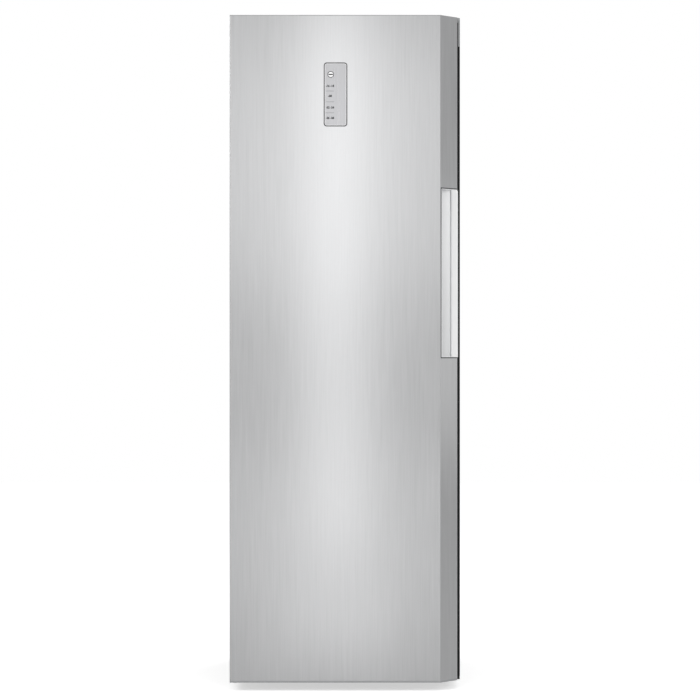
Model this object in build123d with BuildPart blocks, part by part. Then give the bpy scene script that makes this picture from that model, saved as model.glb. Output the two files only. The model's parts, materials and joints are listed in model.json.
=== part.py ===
"""Upright freezer: one full-height bevelled steel door over five drawers and two flap compartments.

Frame: millimetres, +Z up, the door faces -Y, the hinge is on the left (-X) and the grip on the
right (+X). The origin is on the floor under the middle of the outer box.
"""

import os
from math import atan2, cos, pi, radians, sin, tan

from build123d import *

os.makedirs("parts", exist_ok=True)

# %% Driving dimensions of the outer box
width = 600.0
depth = 650.0
height = 1760.0
base_height = 30.0  # floor to the underside of the cabinet
cover_height = 18.0  # plastic cover on the steel top
sheet = 1.0  # folded steel of cabinet and door
liner_wall = 2.0  # vacuum-formed plastic of both liners

# Cabinet walls, outer face to food space
side_wall = 62.0
top_wall = 60.0
floor_wall = 65.0
rear_wall = 63.0
liner_lip = 14.0  # white rim of the liner round the opening
liner_corner = 16.0

# Machine compartment at the bottom of the back
machine_depth = 207.0
machine_height = 225.0
machine_insulation = 57.0
step_chamfer = 30.0
pan_sheet = 1.5

# Door
door_thickness = 60.0
seal_gap = 10.0  # between the door's inner face and the cabinet
door_lift = 22.0  # floor to the door
door_drop = 8.0  # cover's top down to the door's top
door_side_inset = 8.0  # grip side, behind the cabinet's side
bevel_width = 46.0
bevel_depth = 46.0
low_cap_edge = 5.0
top_cap_edge = 2.0
cap_plug = 13.0  # how far a cap reaches into the skin
dyke_height = 20.0
dyke_left = 100.0  # from the cabinet's left side
dyke_right = 78.0  # from the cabinet's right side
dyke_end = 30.0  # from the food space's floor and ceiling
dyke_corner = 22.0
dyke_draft = 14.0
seal_width = 16.0
seal_inset = 15.0
seal_end_inset = 22.0

# Hinge
hinge_inset = 12.0  # axis from the left side
hinge_depth = 25.0  # axis in front of the door's inner face
pin_radius = 5.0
pin_play = 0.05
bush_wall = 2.0
bush_flange = 1.0
pin_length = 26.0
hinge_sheet = 4.0
low_sheet = 3.0
hinge_eye = 8.5
hinge_reach = 75.0  # plate on the cabinet
hinge_plate = 62.0

# Recessed grip in the bevel
grip_length = 440.0
grip_drop = 676.0  # outer box's top down to the grip's middle
grip_undercut = 20.0  # behind the door's face
grip_mouth = 25.5
grip_depth = 43.0
grip_wall = 2.5
grip_end = 3.0
grip_lip = 2.0

# Control panel
panel_width = 61.0
panel_length = 165.6
panel_corner = 8.0
panel_rim = 2.2
panel_drop = 214.0  # outer box's top down to its middle
panel_shift = 1.5  # right of the face's middle
panel_depth = 16.0
plate_thickness = 1.5
plate_recess = 0.4
board_thickness = 1.6

# Food space
compartments = 7
flap_count = 2
shelf_thickness = 4.0
shelf_over_step = 10.0
shelf_play = 1.5
front_setback = 23.0  # drawer fronts behind the cabinet's face
front_thickness = 14.0
front_field = 6.0  # thickness of the drawer front's window
front_band = 46.0  # solid band that holds the grip slot
front_rim = 13.0
front_corner = 5.0
front_play = 6.0  # each side of a drawer front
tub_play = 9.0
tub_wall = 2.4
tub_corner = 16.0
tub_groove = 16.0
tub_draft = 2.0
tub_drop = 48.0  # rim under the next shelf
tub_rim = 4.0
slot_width = 180.0
slot_height = 26.0
ledge_reach = 16.0
ledge_thickness = 6.0
ledge_brace = 8.0
glide_gap = 0.3  # drawer over its shelf at rest
flap_sheet = 3.5
flap_play = 12.0
flap_pin_radius = 3.0
flap_pin_length = 8.0
flap_roll = 7.0
flap_lip = 8.0
flap_boss = 18.0

# Air duct, evaporator and fan
duct_width = 410.0
duct_depth = 72.0
duct_wall = 3.0
vent_width = 120.0
vent_height = 12.0
fin_count = 10
fin_thickness = 0.6
fin_width = 340.0
fin_height = 240.0
fin_depth = 54.0
fin_bottom = 400.0
coil_radius = 4.0
coil_rows = 3
coil_turn_reach = 24.0  # bends outside the end fins
heater_radius = 4.0
fan_height = 770.0
fan_radius = 54.0
fan_hub = 14.0
fan_depth = 22.0
fan_blades = 6
blade_twist = 38.0
blade_camber = 30.0  # radius of the blade's curve
blade_sweep = 44.0
blade_sheet = 1.6
motor_radius = 22.0
motor_length = 24.0
shaft_radius = 2.5
drain_size = 16.0
drain_wall = 1.5
drain_hole = drain_size + 0.4

# Machinery
pot_x = -70.0
pot_radius = 72.0
pot_height = 158.0
mount_height = 14.0
plate_sheet = 3.0
mount_radius = 11.0
mount_x = 58.0
mount_y = 48.0
rail_sheet = 2.0
rail_flange = 18.0
tray_length = 210.0
tray_width = 150.0
tray_height = 26.0
tray_wall = 2.0
tray_flare = 3.0
tray_corner = 16.0
condenser_radius = 2.5
condenser_inset = 85.0  # outer tubes from the cabinet's sides
condenser_turn = 70.0  # top bends under the steel top
condenser_runs = 4
drier_radius = 9.0
drier_length = 95.0
suction_radius = 4.0

# Feet and rollers
foot_inset = 50.0  # foot's and roller's middle from the cabinet's side
foot_setback = 105.0  # behind the cabinet's face
foot_radius = 18.0
foot_pad = 9.0
foot_stem = 5.0
foot_socket = 22.0
roller_radius = 14.0
roller_width = 18.0
axle_radius = 4.0
ear_half = 8.0
ear_sheet = 2.0
roller_back = 52.0  # axle in front of the back

# Screws
screw_head = 4.6
screw_head_height = 2.6
fit_gap = 0.3  # between bodies that pass each other

# %% Places worked out from them
left = -width / 2
right = width / 2
front = -depth / 2
rear = depth / 2
steel_top = height - cover_height
door_back = front + door_thickness
cabinet_front = door_back + seal_gap
door_right = right - door_side_inset
door_top = height - door_drop
bevel_start = door_right - bevel_width
skin_back = door_back - liner_wall
skin_low = door_lift + low_cap_edge
skin_high = door_top - top_cap_edge
space_half = width / 2 - side_wall
space_floor = base_height + floor_wall
space_top = steel_top - top_wall
space_rear = rear - rear_wall
machine_roof = base_height + machine_height
machine_front = rear - machine_depth
step_front = machine_front - machine_insulation
step_top = machine_roof + machine_insulation
first_shelf = step_top + shelf_over_step
pitch = (space_top - first_shelf) / (compartments - 1)
hinge_x = left + hinge_inset
hinge_y = door_back - hinge_depth
grip_low = height - grip_drop - grip_length / 2
panel_middle = height - panel_drop
panel_x = (left + bevel_start) / 2 + panel_shift
duct_front = space_rear - duct_depth
fronts_y = cabinet_front + front_setback
foot_x = right - foot_inset
foot_y = cabinet_front + foot_setback
shelf_front = fronts_y + front_thickness + fit_gap
shelf_rear = duct_front - 3
bevel_lean = atan2(bevel_depth, bevel_width)


def facing(y):
    """Upright plane across the freezer: its x is X and its y is Z, and it looks towards the front."""
    return Plane.XZ.offset(-y)


def beside(x):
    """Upright plane along the freezer's side: its x is Y and its y is Z, and it looks to the right."""
    return Plane.YZ.offset(x)


def level(z):
    """Level plane, looking up."""
    return Plane.XY.offset(z)


def area(x_low, x_high, y_low, y_high, mode=Mode.ADD):
    """Rectangle between two corners of the sketch."""
    with Locations(((x_low + x_high) / 2, (y_low + y_high) / 2)):
        Rectangle(x_high - x_low, y_high - y_low, mode=mode)


def shape(points, mode=Mode.ADD):
    """Face with straight sides through the points."""
    Polygon(*points, align=None, mode=mode)


def shelf_level(index):
    """Top of the shelf under compartment index; compartment 0 is the one in front of the step."""
    return space_floor if index == 0 else first_shelf + pitch * (index - 1)


def door_outline(inset, back):
    """Plan of the door with its bevel, drawn in from its faces by inset and closed at back."""
    front_shift = inset * tan(bevel_lean / 2)
    side_shift = inset * tan((pi / 2 - bevel_lean) / 2)
    return [
        (left + inset, front + inset),
        (bevel_start - front_shift, front + inset),
        (door_right - inset, front + bevel_depth + side_shift),
        (door_right - inset, back),
        (left + inset, back),
    ]


def bevel_y(x):
    """Y of the bevel's outer face at x."""
    return front + (x - bevel_start) * bevel_depth / bevel_width


def space_outline(grow, start):
    """Side view of the food space with its step, grown outwards by a wall, from start to the rear."""
    mitre = grow * tan(radians(22.5))
    return [
        (start, space_floor - grow),
        (step_front + grow, space_floor - grow),
        (step_front + grow, step_top - step_chamfer - mitre),
        (step_front + step_chamfer + mitre, step_top - grow),
        (space_rear + grow, step_top - grow),
        (space_rear + grow, space_top + grow),
        (start, space_top + grow),
    ]


# %% Shared places of screws, drain and pipes
screw_inset = 14.0
hinge_screw_back = 24.0
drain_inset = 32.0  # in front of the food space's rear wall
condenser_skin = 10.0  # tube's middle in front of the back
suction_reach = 118.0
drier_offset = 30.0
hinge_screws = [
    (left + screw_inset, cabinet_front + hinge_screw_back),
    (left + hinge_plate - screw_inset, cabinet_front + 2 * hinge_screw_back),
]
drain_y = space_rear - drain_inset
condenser_y = rear - condenser_skin
condenser_edge = right - condenser_inset
pot_y = (machine_front + rear) / 2
suction_x = pot_x + pot_radius + suction_reach
drier_y = condenser_y - drier_offset
grommet_size = 12.0

# %% Cabinet: folded steel wrap with its front frame
cheek_low = space_top - 3
cheek_back = cabinet_front + 26
cheek_width = 5.0
foam_margin = 20.0  # round the coil's recess
frame_half = space_half + liner_lip
with BuildPart() as cheek_room:
    with BuildSketch(level(cheek_low)):
        for side in (-1, 1):
            with Locations((side * (right - cheek_width / 2 + 1), (cabinet_front + cheek_back) / 2 - 1)):
                Rectangle(cheek_width + 2, cheek_back - cabinet_front + 2)
    extrude(amount=steel_top - cheek_low)
with BuildPart() as cabinet_shell:
    with BuildSketch(facing(cabinet_front)):
        area(left, right, base_height, steel_top)
        area(left + sheet, right - sheet, base_height, steel_top - sheet, mode=Mode.SUBTRACT)
    extrude(amount=cabinet_front - rear)
    with BuildSketch(facing(cabinet_front)):
        area(left, right, base_height, steel_top)
        area(-frame_half, frame_half, space_floor - liner_lip, space_top + liner_lip, mode=Mode.SUBTRACT)
    extrude(amount=-sheet)
    upright = cabinet_shell.edges().filter_by(Axis.Z).filter_by(
        lambda edge: abs(abs(edge.center().X) - right) < 0.01 and edge.center().Y < cabinet_front + 0.01
    )
    fillet(upright, radius=1.5 * sheet)
    add(cheek_room.part, mode=Mode.SUBTRACT)
cabinet_shell.part.label = "cabinet_shell"
export_step(cabinet_shell.part, "parts/cabinet_shell.step")

# %% Cabinet: back panel with pressed stiffening beads
bead_depth = 3.0
bead_width = 24.0
bead_count = 6
bead_length = width - 120
panel_low = machine_roof + pan_sheet
with BuildPart() as back_panel:
    with BuildSketch(facing(rear)):
        area(left + sheet, right - sheet, panel_low, steel_top - sheet)
    extrude(amount=sheet)
    bead_middle = (panel_low + steel_top) / 2
    bead_pitch = (steel_top - panel_low) / (bead_count + 0.5)
    with BuildSketch(facing(rear - sheet)):
        with Locations((0, bead_middle)):
            with GridLocations(0, bead_pitch, 1, bead_count):
                Rectangle(bead_length, bead_width + 2 * sheet)
    extrude(amount=bead_depth)
    with BuildSketch(facing(rear)):
        with Locations((0, bead_middle)):
            with GridLocations(0, bead_pitch, 1, bead_count):
                Rectangle(bead_length - 2 * sheet, bead_width)
    extrude(amount=bead_depth, mode=Mode.SUBTRACT)
back_panel.part.label = "back_panel"
export_step(back_panel.part, "parts/back_panel.step")

# %% Cabinet: base pan, stepped over the machine compartment
with BuildPart() as base_pan:
    with BuildSketch(beside(0)):
        area(cabinet_front + sheet, machine_front, base_height, base_height + pan_sheet)
        area(machine_front - pan_sheet, machine_front, base_height, machine_roof)
        area(machine_front - pan_sheet, rear - sheet, machine_roof, machine_roof + pan_sheet)
    extrude(amount=right - sheet, both=True)
    with Locations((-foot_x, foot_y, base_height), (foot_x, foot_y, base_height)):
        Hole(radius=foot_stem + 0.1, depth=2 * pan_sheet)
    with BuildSketch(level(machine_roof)):
        with Locations((0, drain_y)):
            Rectangle(drain_hole, drain_hole)
        with Locations((suction_x, pot_y)):
            Rectangle(grommet_size, grommet_size)
        with Locations(*[(side * condenser_edge, condenser_y) for side in (-1, 1)]):
            Rectangle(grommet_size, 2 * condenser_radius + 1)
    extrude(amount=pan_sheet, mode=Mode.SUBTRACT)
base_pan.part.label = "base_pan"
export_step(base_pan.part, "parts/base_pan.step")

# %% Cabinet: rigid foam between steel and liner
coil_recess = rear - sheet - condenser_y + condenser_radius + fit_gap
with BuildPart() as cabinet_foam:
    with BuildSketch(beside(0)):
        area(cabinet_front + sheet, machine_front - pan_sheet, base_height + pan_sheet, steel_top - sheet)
        area(machine_front - pan_sheet, rear - sheet, machine_roof + pan_sheet, steel_top - sheet)
    extrude(amount=right - sheet, both=True)
    with BuildSketch(beside(0)):
        shape(space_outline(liner_wall, cabinet_front))
    extrude(amount=space_half + liner_wall, both=True, mode=Mode.SUBTRACT)
    with BuildSketch(facing(rear - sheet)):
        area(foam_margin - right, right - foam_margin, panel_low, steel_top - foam_margin)
    extrude(amount=coil_recess, mode=Mode.SUBTRACT)
    add(cheek_room.part, mode=Mode.SUBTRACT)
    with BuildSketch(level(base_height + pan_sheet)):
        with Locations((-foot_x, foot_y), (foot_x, foot_y)):
            Rectangle(2 * foot_stem + 2, 2 * foot_stem + 2)
    extrude(amount=foot_socket, mode=Mode.SUBTRACT)
    with BuildSketch(level(machine_roof)):
        with Locations((0, drain_y)):
            Rectangle(drain_hole, drain_hole)
    extrude(amount=machine_insulation, mode=Mode.SUBTRACT)
cabinet_foam.part.label = "cabinet_foam"
export_step(cabinet_foam.part, "parts/cabinet_foam.step")

# %% Cabinet: vacuum-formed liner with ledges for the shelves and bosses for the flaps
pivot_y = fronts_y + flap_roll
flap_tops = [shelf_level(compartments - 1) - shelf_thickness - flap_boss / 2, space_top - flap_boss / 2]
with BuildPart() as food_space:
    with BuildSketch(beside(0)):
        shape(space_outline(0, cabinet_front - 1))
    extrude(amount=space_half, both=True)
    long_edges = food_space.edges().filter_by(Axis.Y).filter_by(
        lambda edge: edge.center().Z < space_floor + 1 or edge.center().Z > space_top - 1
    )
    fillet(long_edges, radius=liner_corner)
with BuildPart() as inner_liner:
    with BuildSketch(beside(0)):
        shape(space_outline(liner_wall, cabinet_front + sheet))
    extrude(amount=space_half + liner_wall, both=True)
    with BuildSketch(facing(cabinet_front)):
        area(-frame_half, frame_half, space_floor - liner_lip, space_top + liner_lip)
    extrude(amount=-sheet)
    add(food_space.part, mode=Mode.SUBTRACT)
    for index in range(1, compartments):
        ledge_top = shelf_level(index) - shelf_thickness
        ledge_end = step_front - 8 if index == 1 else shelf_rear
        with BuildSketch(facing(shelf_front)):
            for side in (-1, 1):
                shape(
                    [
                        (side * (space_half + 1), ledge_top),
                        (side * (space_half - ledge_reach), ledge_top),
                        (side * (space_half - ledge_reach), ledge_top - ledge_thickness),
                        (side * (space_half + 1), ledge_top - ledge_thickness - ledge_brace),
                    ]
                )
        extrude(amount=shelf_front - ledge_end)
    for flap_top in flap_tops:
        for side in (-1, 1):
            with BuildSketch(beside(side * (space_half + 1))):
                with Locations((pivot_y, flap_top)):
                    Rectangle(flap_boss, flap_boss)
            extrude(amount=-side * (flap_play - 1))
            with BuildSketch(beside(side * (space_half + 2 - flap_play))):
                with Locations((pivot_y, flap_top)):
                    Rectangle(2 * (flap_pin_radius + pin_play), 2 * (flap_pin_radius + pin_play))
            extrude(amount=side * (flap_pin_length + 1), mode=Mode.SUBTRACT)
    with BuildSketch(level(step_top)):
        with Locations((0, drain_y)):
            Rectangle(drain_hole, drain_hole)
    extrude(amount=-liner_wall, mode=Mode.SUBTRACT)
inner_liner.part.label = "inner_liner"
export_step(inner_liner.part, "parts/inner_liner.step")

# %% Cabinet: plastic top cover with a cheek down each front corner
cover_wall = 3.0
crown_fall = 6.0
crown_slope = 20.0
with BuildPart() as cover_hollow:
    with BuildSketch(level(steel_top)):
        area(left + cover_wall, right - cover_wall, cabinet_front + cover_wall, rear - cover_wall)
    extrude(amount=cover_height - cover_wall)
    crown = cover_hollow.faces().sort_by(Axis.Z)[-1]
    chamfer(crown.edges(), length=crown_slope, length2=crown_fall, reference=crown)

with BuildPart() as top_cover:
    with BuildSketch(level(steel_top)):
        area(left, right, cabinet_front, rear)
    extrude(amount=cover_height)
    crown = top_cover.faces().sort_by(Axis.Z)[-1]
    chamfer(crown.edges(), length=crown_slope, length2=crown_fall, reference=crown)
    add(cover_hollow.part, mode=Mode.SUBTRACT)
    with BuildSketch(level(cheek_low)):
        for side in (-1, 1):
            with Locations((side * (right - cheek_width / 2), (cabinet_front + cheek_back) / 2)):
                Rectangle(cheek_width, cheek_back - cabinet_front)
    extrude(amount=steel_top - cheek_low)
    with BuildSketch(facing(cabinet_front - 1)):
        area(hinge_x - hinge_eye - 0.5, hinge_x + hinge_eye + 0.5, steel_top, steel_top + hinge_sheet + 0.5)
    extrude(amount=-cover_wall - 1, mode=Mode.SUBTRACT)
top_cover.part.label = "top_cover"
export_step(top_cover.part, "parts/top_cover.step")

# %% Cabinet: hinge plates on the steel top and under the base pan, each with a riveted pin
low_plate_top = door_lift - bush_flange - fit_gap
low_plate = hinge_reach - 5
with BuildPart() as hinge_plates:
    with BuildSketch(level(steel_top)):
        area(hinge_x - hinge_eye, hinge_x + hinge_eye, hinge_y, cabinet_front + hinge_reach)
        plate_left = hinge_x - hinge_eye
        area(plate_left, plate_left + hinge_plate, cabinet_front + 12, cabinet_front + hinge_reach)
        with Locations((hinge_x, hinge_y)):
            Circle(hinge_eye)
    extrude(amount=hinge_sheet)
    with BuildSketch(level(steel_top)):
        with Locations((hinge_x, hinge_y)):
            Circle(pin_radius)
    extrude(amount=-pin_length)
    with BuildSketch(beside(hinge_x - hinge_eye)):
        area(hinge_y, cabinet_front + 4, low_plate_top - low_sheet, low_plate_top)
        area(cabinet_front + 1, cabinet_front + 4, low_plate_top - low_sheet, base_height)
        area(cabinet_front + 1, cabinet_front + low_plate, base_height - low_sheet, base_height)
    extrude(amount=2 * hinge_eye)
    with BuildSketch(level(base_height)):
        area(plate_left, plate_left + hinge_plate, cabinet_front + 8, cabinet_front + low_plate)
    extrude(amount=-low_sheet)
    with BuildSketch(level(low_plate_top)):
        with Locations((hinge_x, hinge_y)):
            Circle(hinge_eye)
    extrude(amount=-low_sheet)
    with BuildSketch(level(low_plate_top)):
        with Locations((hinge_x, hinge_y)):
            Circle(pin_radius)
    extrude(amount=pin_length)
hinge_plates.part.label = "hinge_plates"
export_step(hinge_plates.part, "parts/hinge_plates.step")

# %% Inside: six glass shelves on the liner's ledges
with BuildPart() as glass_shelves:
    for index in range(1, compartments):
        with BuildSketch(level(shelf_level(index) - shelf_thickness)):
            area(shelf_play - space_half, space_half - shelf_play, shelf_front, shelf_rear)
        extrude(amount=shelf_thickness)
glass_shelves.part.label = "glass_shelves"
export_step(glass_shelves.part, "parts/glass_shelves.step")

# %% Inside: ceiling lamp
lamp_width = 150.0
lamp_depth = 44.0
lamp_drop = 9.0
with BuildPart() as lamp_cover:
    with BuildSketch(level(space_top)):
        with Locations((0, shelf_front + lamp_depth)):
            Rectangle(lamp_width, lamp_depth)
    extrude(amount=-lamp_drop, taper=25)
lamp_cover.part.label = "lamp_cover"
export_step(lamp_cover.part, "parts/lamp_cover.step")

# %% Inside: air duct cover with a raised spine and louvres at every compartment
duct_low = shelf_level(1) + 4
duct_high = space_top - 5
vent_drop = 44.0  # under the next shelf
vent_gap = 80.0  # between a pair of vents
intake_slots = 9
intake_width = 16.0
intake_length = 34.0
with BuildPart() as duct_cover:
    with BuildSketch(facing(space_rear)):
        area(-duct_width / 2, duct_width / 2, duct_low, duct_high)
    extrude(amount=duct_depth)
    duct_half = duct_width / 2 - duct_wall
    with BuildSketch(facing(space_rear)):
        area(-duct_half, duct_half, duct_low + duct_wall, duct_high - duct_wall)
    extrude(amount=duct_depth - duct_wall, mode=Mode.SUBTRACT)
    for index in range(1, compartments):
        with BuildSketch(facing(duct_front)):
            with Locations((0, shelf_level(index + 1) - vent_drop)):
                with GridLocations(vent_width + vent_gap, 0, 2, 1):
                    Rectangle(vent_width, vent_height)
        extrude(amount=-duct_wall, mode=Mode.SUBTRACT)
    with BuildSketch(facing(duct_front)):
        with Locations((0, duct_low + intake_length)):
            with GridLocations(2.5 * intake_width, 0, intake_slots, 1):
                Rectangle(intake_width, intake_length)
    extrude(amount=-duct_wall, mode=Mode.SUBTRACT)
    with BuildSketch(level(duct_low)):
        with Locations((0, drain_y)):
            Rectangle(drain_hole, drain_hole)
    extrude(amount=duct_wall, mode=Mode.SUBTRACT)
duct_cover.part.label = "duct_cover"
export_step(duct_cover.part, "parts/duct_cover.step")

# %% Inside: evaporator, a serpentine tube pressed into open-slotted fins between two end plates
fin_back = space_rear - 5
coil_y = fin_back - fin_depth / 2 - 1
row_pitch = fin_height / coil_rows
coil_low = fin_bottom + row_pitch / 2
with BuildPart() as evaporator_fins:
    with BuildSketch(beside(-fin_width / 2)):
        area(fin_back - fin_depth, fin_back, fin_bottom, fin_bottom + fin_height)
        for row in range(coil_rows):
            with Locations((coil_y - fin_depth / 2, coil_low + row * row_pitch)):
                Rectangle(fin_depth + 2 * coil_radius + 1, 2 * coil_radius + 0.4, mode=Mode.SUBTRACT)
    extrude(amount=fin_thickness)
    fin = evaporator_fins.part
    for number in range(1, fin_count):
        with Locations((number * (fin_width - fin_thickness) / (fin_count - 1), 0, 0)):
            add(fin)
    with BuildSketch(facing(space_rear)):
        with GridLocations(fin_width + 2, 0, 2, 1):
            with Locations((0, fin_bottom + fin_height / 2)):
                Rectangle(2, fin_height - 2 * coil_radius - row_pitch)
    extrude(amount=5 + fin_depth / 3)
evaporator_fins.part.label = "evaporator_fins"
export_step(evaporator_fins.part, "parts/evaporator_fins.step")

coil_reach = fin_width / 2 + coil_turn_reach
coil_path = []
for row in range(coil_rows):
    ends = (-1, 1) if row % 2 == 0 else (1, -1)
    coil_path += [(end * coil_reach, coil_y, coil_low + row * row_pitch) for end in ends]
with BuildPart() as evaporator_coil:
    with BuildLine():
        Polyline(*coil_path)
    with BuildSketch(beside(-coil_reach)):
        with Locations((coil_y, coil_low)):
            Circle(coil_radius)
    sweep(transition=Transition.RIGHT)
evaporator_coil.part.label = "evaporator_coil"
export_step(evaporator_coil.part, "parts/evaporator_coil.step")

# %% Inside: defrost heater under the fins
heater_z = fin_bottom - heater_radius - fit_gap
heater_front = fin_back - fin_depth + 2 * heater_radius + 1
heater_half = fin_width / 2 - 10
with BuildPart() as defrost_heater:
    with BuildSketch(beside(-heater_half)):
        with Locations((heater_front, heater_z)):
            Circle(heater_radius)
    extrude(amount=2 * heater_half)
defrost_heater.part.label = "defrost_heater"
export_step(defrost_heater.part, "parts/defrost_heater.step")

# %% Inside: drip pan with its spout, and the drain tube down to the machine compartment
drip_drop = 14.0  # rim under the fins
drip_rise = 26.0  # spout over the step
drip_slack = 3.0
drip_high = fin_bottom - drip_drop
drip_low = step_top + drip_rise
drip_half = duct_width / 2 - 2 * duct_wall
with BuildPart() as drip_pan:
    with BuildSketch(facing(space_rear)):
        shape(
            [
                (-drip_half, drip_high),
                (drip_half, drip_high),
                (drain_size / 2, drip_low),
                (-drain_size / 2, drip_low),
            ]
        )
    extrude(amount=duct_depth - 2 * duct_wall)
    with BuildSketch(facing(space_rear - drain_wall)):
        shape(
            [
                (drip_slack - drip_half, drip_high + 1),
                (drip_half - drip_slack, drip_high + 1),
                (drain_size / 2, drip_low + drain_wall + 1),
                (-drain_size / 2, drip_low + drain_wall + 1),
            ]
        )
    extrude(amount=duct_depth - 2 * duct_wall - 2 * drain_wall, mode=Mode.SUBTRACT)
    with BuildSketch(level(drip_low + 4)):
        with Locations((0, drain_y)):
            Rectangle(drain_size - 2 * drain_wall, drain_size - 2 * drain_wall)
    extrude(amount=-8, mode=Mode.SUBTRACT)
drip_pan.part.label = "drip_pan"
export_step(drip_pan.part, "parts/drip_pan.step")

pot_top = base_height + rail_sheet + mount_height + 2 * plate_sheet + pot_height
tray_low = pot_top + fit_gap
with BuildPart() as drain_tube:
    with BuildSketch(level(tray_low + tray_height - 8)):
        with Locations((0, drain_y)):
            Rectangle(drain_size, drain_size)
            Rectangle(drain_size - 2 * drain_wall, drain_size - 2 * drain_wall, mode=Mode.SUBTRACT)
    extrude(amount=drip_low - tray_low - tray_height + 8)
drain_tube.part.label = "drain_tube"
export_step(drain_tube.part, "parts/drain_tube.step")

# %% Inside: fan motor on the rear wall and its impeller
bracket_reach = 17.0  # each side of the motor
bracket_height = 30.0
bracket_sheet = 3.0
fan_back = space_rear - motor_length - 2
with BuildPart() as fan_motor:
    with BuildSketch(facing(space_rear)):
        with Locations((0, fan_height)):
            Rectangle(2 * (motor_radius + bracket_reach), bracket_height)
    extrude(amount=bracket_sheet)
    with BuildSketch(facing(space_rear)):
        with Locations((0, fan_height)):
            Rectangle(2 * motor_radius, 2 * motor_radius)
    extrude(amount=motor_length)
    with BuildSketch(facing(space_rear - motor_length)):
        with Locations((0, fan_height)):
            Circle(shaft_radius)
    extrude(amount=fan_depth)
fan_motor.part.label = "fan_motor"
export_step(fan_motor.part, "parts/fan_motor.step")

with BuildPart() as fan_impeller:
    with BuildSketch(facing(fan_back)):
        with Locations((0, fan_height)):
            Circle(fan_hub)
            Circle(shaft_radius + pin_play, mode=Mode.SUBTRACT)
    extrude(amount=fan_depth)
    bends = [radians(blade_sweep * (step / 3 - 0.5)) for step in range(4)]
    outer = [((blade_camber + blade_sheet) * cos(bend), blade_camber * sin(bend)) for bend in bends]
    inner = [(blade_camber * cos(bend), blade_camber * sin(bend)) for bend in reversed(bends)]
    with BuildSketch(Plane.XY):
        shape(outer + inner)
    blade = extrude(amount=fan_radius - fan_hub + 2, mode=Mode.PRIVATE)
    centred = Location((-blade_camber * cos(radians(blade_sweep / 4)), 0, fan_hub - 2))
    for number in range(fan_blades):
        turn = Location((0, fan_back - fan_depth / 2, fan_height), (0, number * 360 / fan_blades, 0))
        pitched = Location((0, 0, 0), (0, 0, blade_twist))
        add(turn * pitched * centred * blade)
fan_impeller.part.label = "fan_impeller"
export_step(fan_impeller.part, "parts/fan_impeller.step")

# %% Machinery: cross member with flanges, compressor studs and roller ears
member_front = machine_front + 6
member_rear = rear - 5
roller_y = rear - roller_back
with BuildPart() as cross_member:
    with BuildSketch(beside(0)):
        area(member_front, member_rear, base_height, base_height + rail_sheet)
        area(member_front, member_front + rail_sheet, base_height, base_height + rail_flange)
        area(member_rear - rail_sheet, member_rear, base_height, base_height + rail_flange)
    extrude(amount=right - sheet, both=True)
    for side in (-1, 1):
        for wing in (-1, 1):
            ear_x = side * foot_x + wing * (roller_width / 2 + 1 + ear_sheet / 2) - ear_sheet / 2
            with BuildSketch(beside(ear_x)):
                shape(
                    [
                        (roller_y - ear_half - 8, base_height),
                        (roller_y - ear_half, roller_radius - ear_half),
                        (roller_y + ear_half, roller_radius - ear_half),
                        (roller_y + ear_half + 8, base_height),
                    ]
                )
                slot_half = axle_radius + pin_play
                with Locations((roller_y, roller_radius - slot_half)):
                    Rectangle(2 * slot_half, 4 * slot_half, mode=Mode.SUBTRACT)
            extrude(amount=ear_sheet)
cross_member.part.label = "cross_member"
export_step(cross_member.part, "parts/cross_member.step")

# %% Machinery: rubber mounts and the hermetic compressor
plate_edge = 15.0  # around the mounts' middles
plate_low = base_height + rail_sheet + mount_height
relay_width = 56.0
relay_height = 44.0
with BuildPart() as compressor_mounts:
    with BuildSketch(level(base_height + rail_sheet)):
        with Locations((pot_x, pot_y)):
            with GridLocations(2 * mount_x, 2 * mount_y, 2, 2):
                RegularPolygon(mount_radius, 8)
    extrude(amount=mount_height)
compressor_mounts.part.label = "compressor_mounts"
export_step(compressor_mounts.part, "parts/compressor_mounts.step")

stub_rise = 62.0
pot_low = plate_low + 2 * plate_sheet
stub_z = pot_low + stub_rise
with BuildPart() as compressor:
    with BuildSketch(level(plate_low)):
        with Locations((pot_x, pot_y)):
            Rectangle(2 * (mount_x + plate_edge), 2 * (mount_y + plate_edge))
    extrude(amount=plate_sheet)
    with BuildSketch(Plane.XZ.offset(-pot_y)):
        with Locations((pot_x, pot_low)):
            shape(
                [
                    (0, -4),
                    (pot_radius - 26, -4),
                    (pot_radius, 26),
                    (pot_radius, pot_height - 34),
                    (pot_radius - 30, pot_height),
                    (0, pot_height),
                ]
            )
    revolve(axis=Axis((pot_x, pot_y, 0), (0, 0, 1)))
compressor.part.label = "compressor"
export_step(compressor.part, "parts/compressor.step")

with BuildPart() as relay_box:
    with BuildSketch(facing(pot_y + pot_radius + fit_gap)):
        with Locations((pot_x, pot_low + 58)):
            Rectangle(relay_width, relay_height)
    extrude(amount=pot_y + pot_radius + fit_gap - member_rear + rail_sheet + 2)
relay_box.part.label = "relay_box"
export_step(relay_box.part, "parts/relay_box.step")

# %% Machinery: evaporation tray on the compressor
with BuildPart() as evaporation_tray:
    for inset, floor, mode in ((0, 0, Mode.ADD), (tray_wall, tray_wall, Mode.SUBTRACT)):
        for height_share in (0, 1):
            grow = 2 * (height_share * tray_flare - inset)
            with BuildSketch(level(tray_low + floor + height_share * (tray_height - floor))) as tray_plan:
                with Locations((pot_x, pot_y)):
                    Rectangle(tray_length + grow, tray_width + grow)
                chamfer(tray_plan.vertices(), tray_corner)
        loft(ruled=True, mode=mode)
evaporation_tray.part.label = "evaporation_tray"
export_step(evaporation_tray.part, "parts/evaporation_tray.step")

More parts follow.
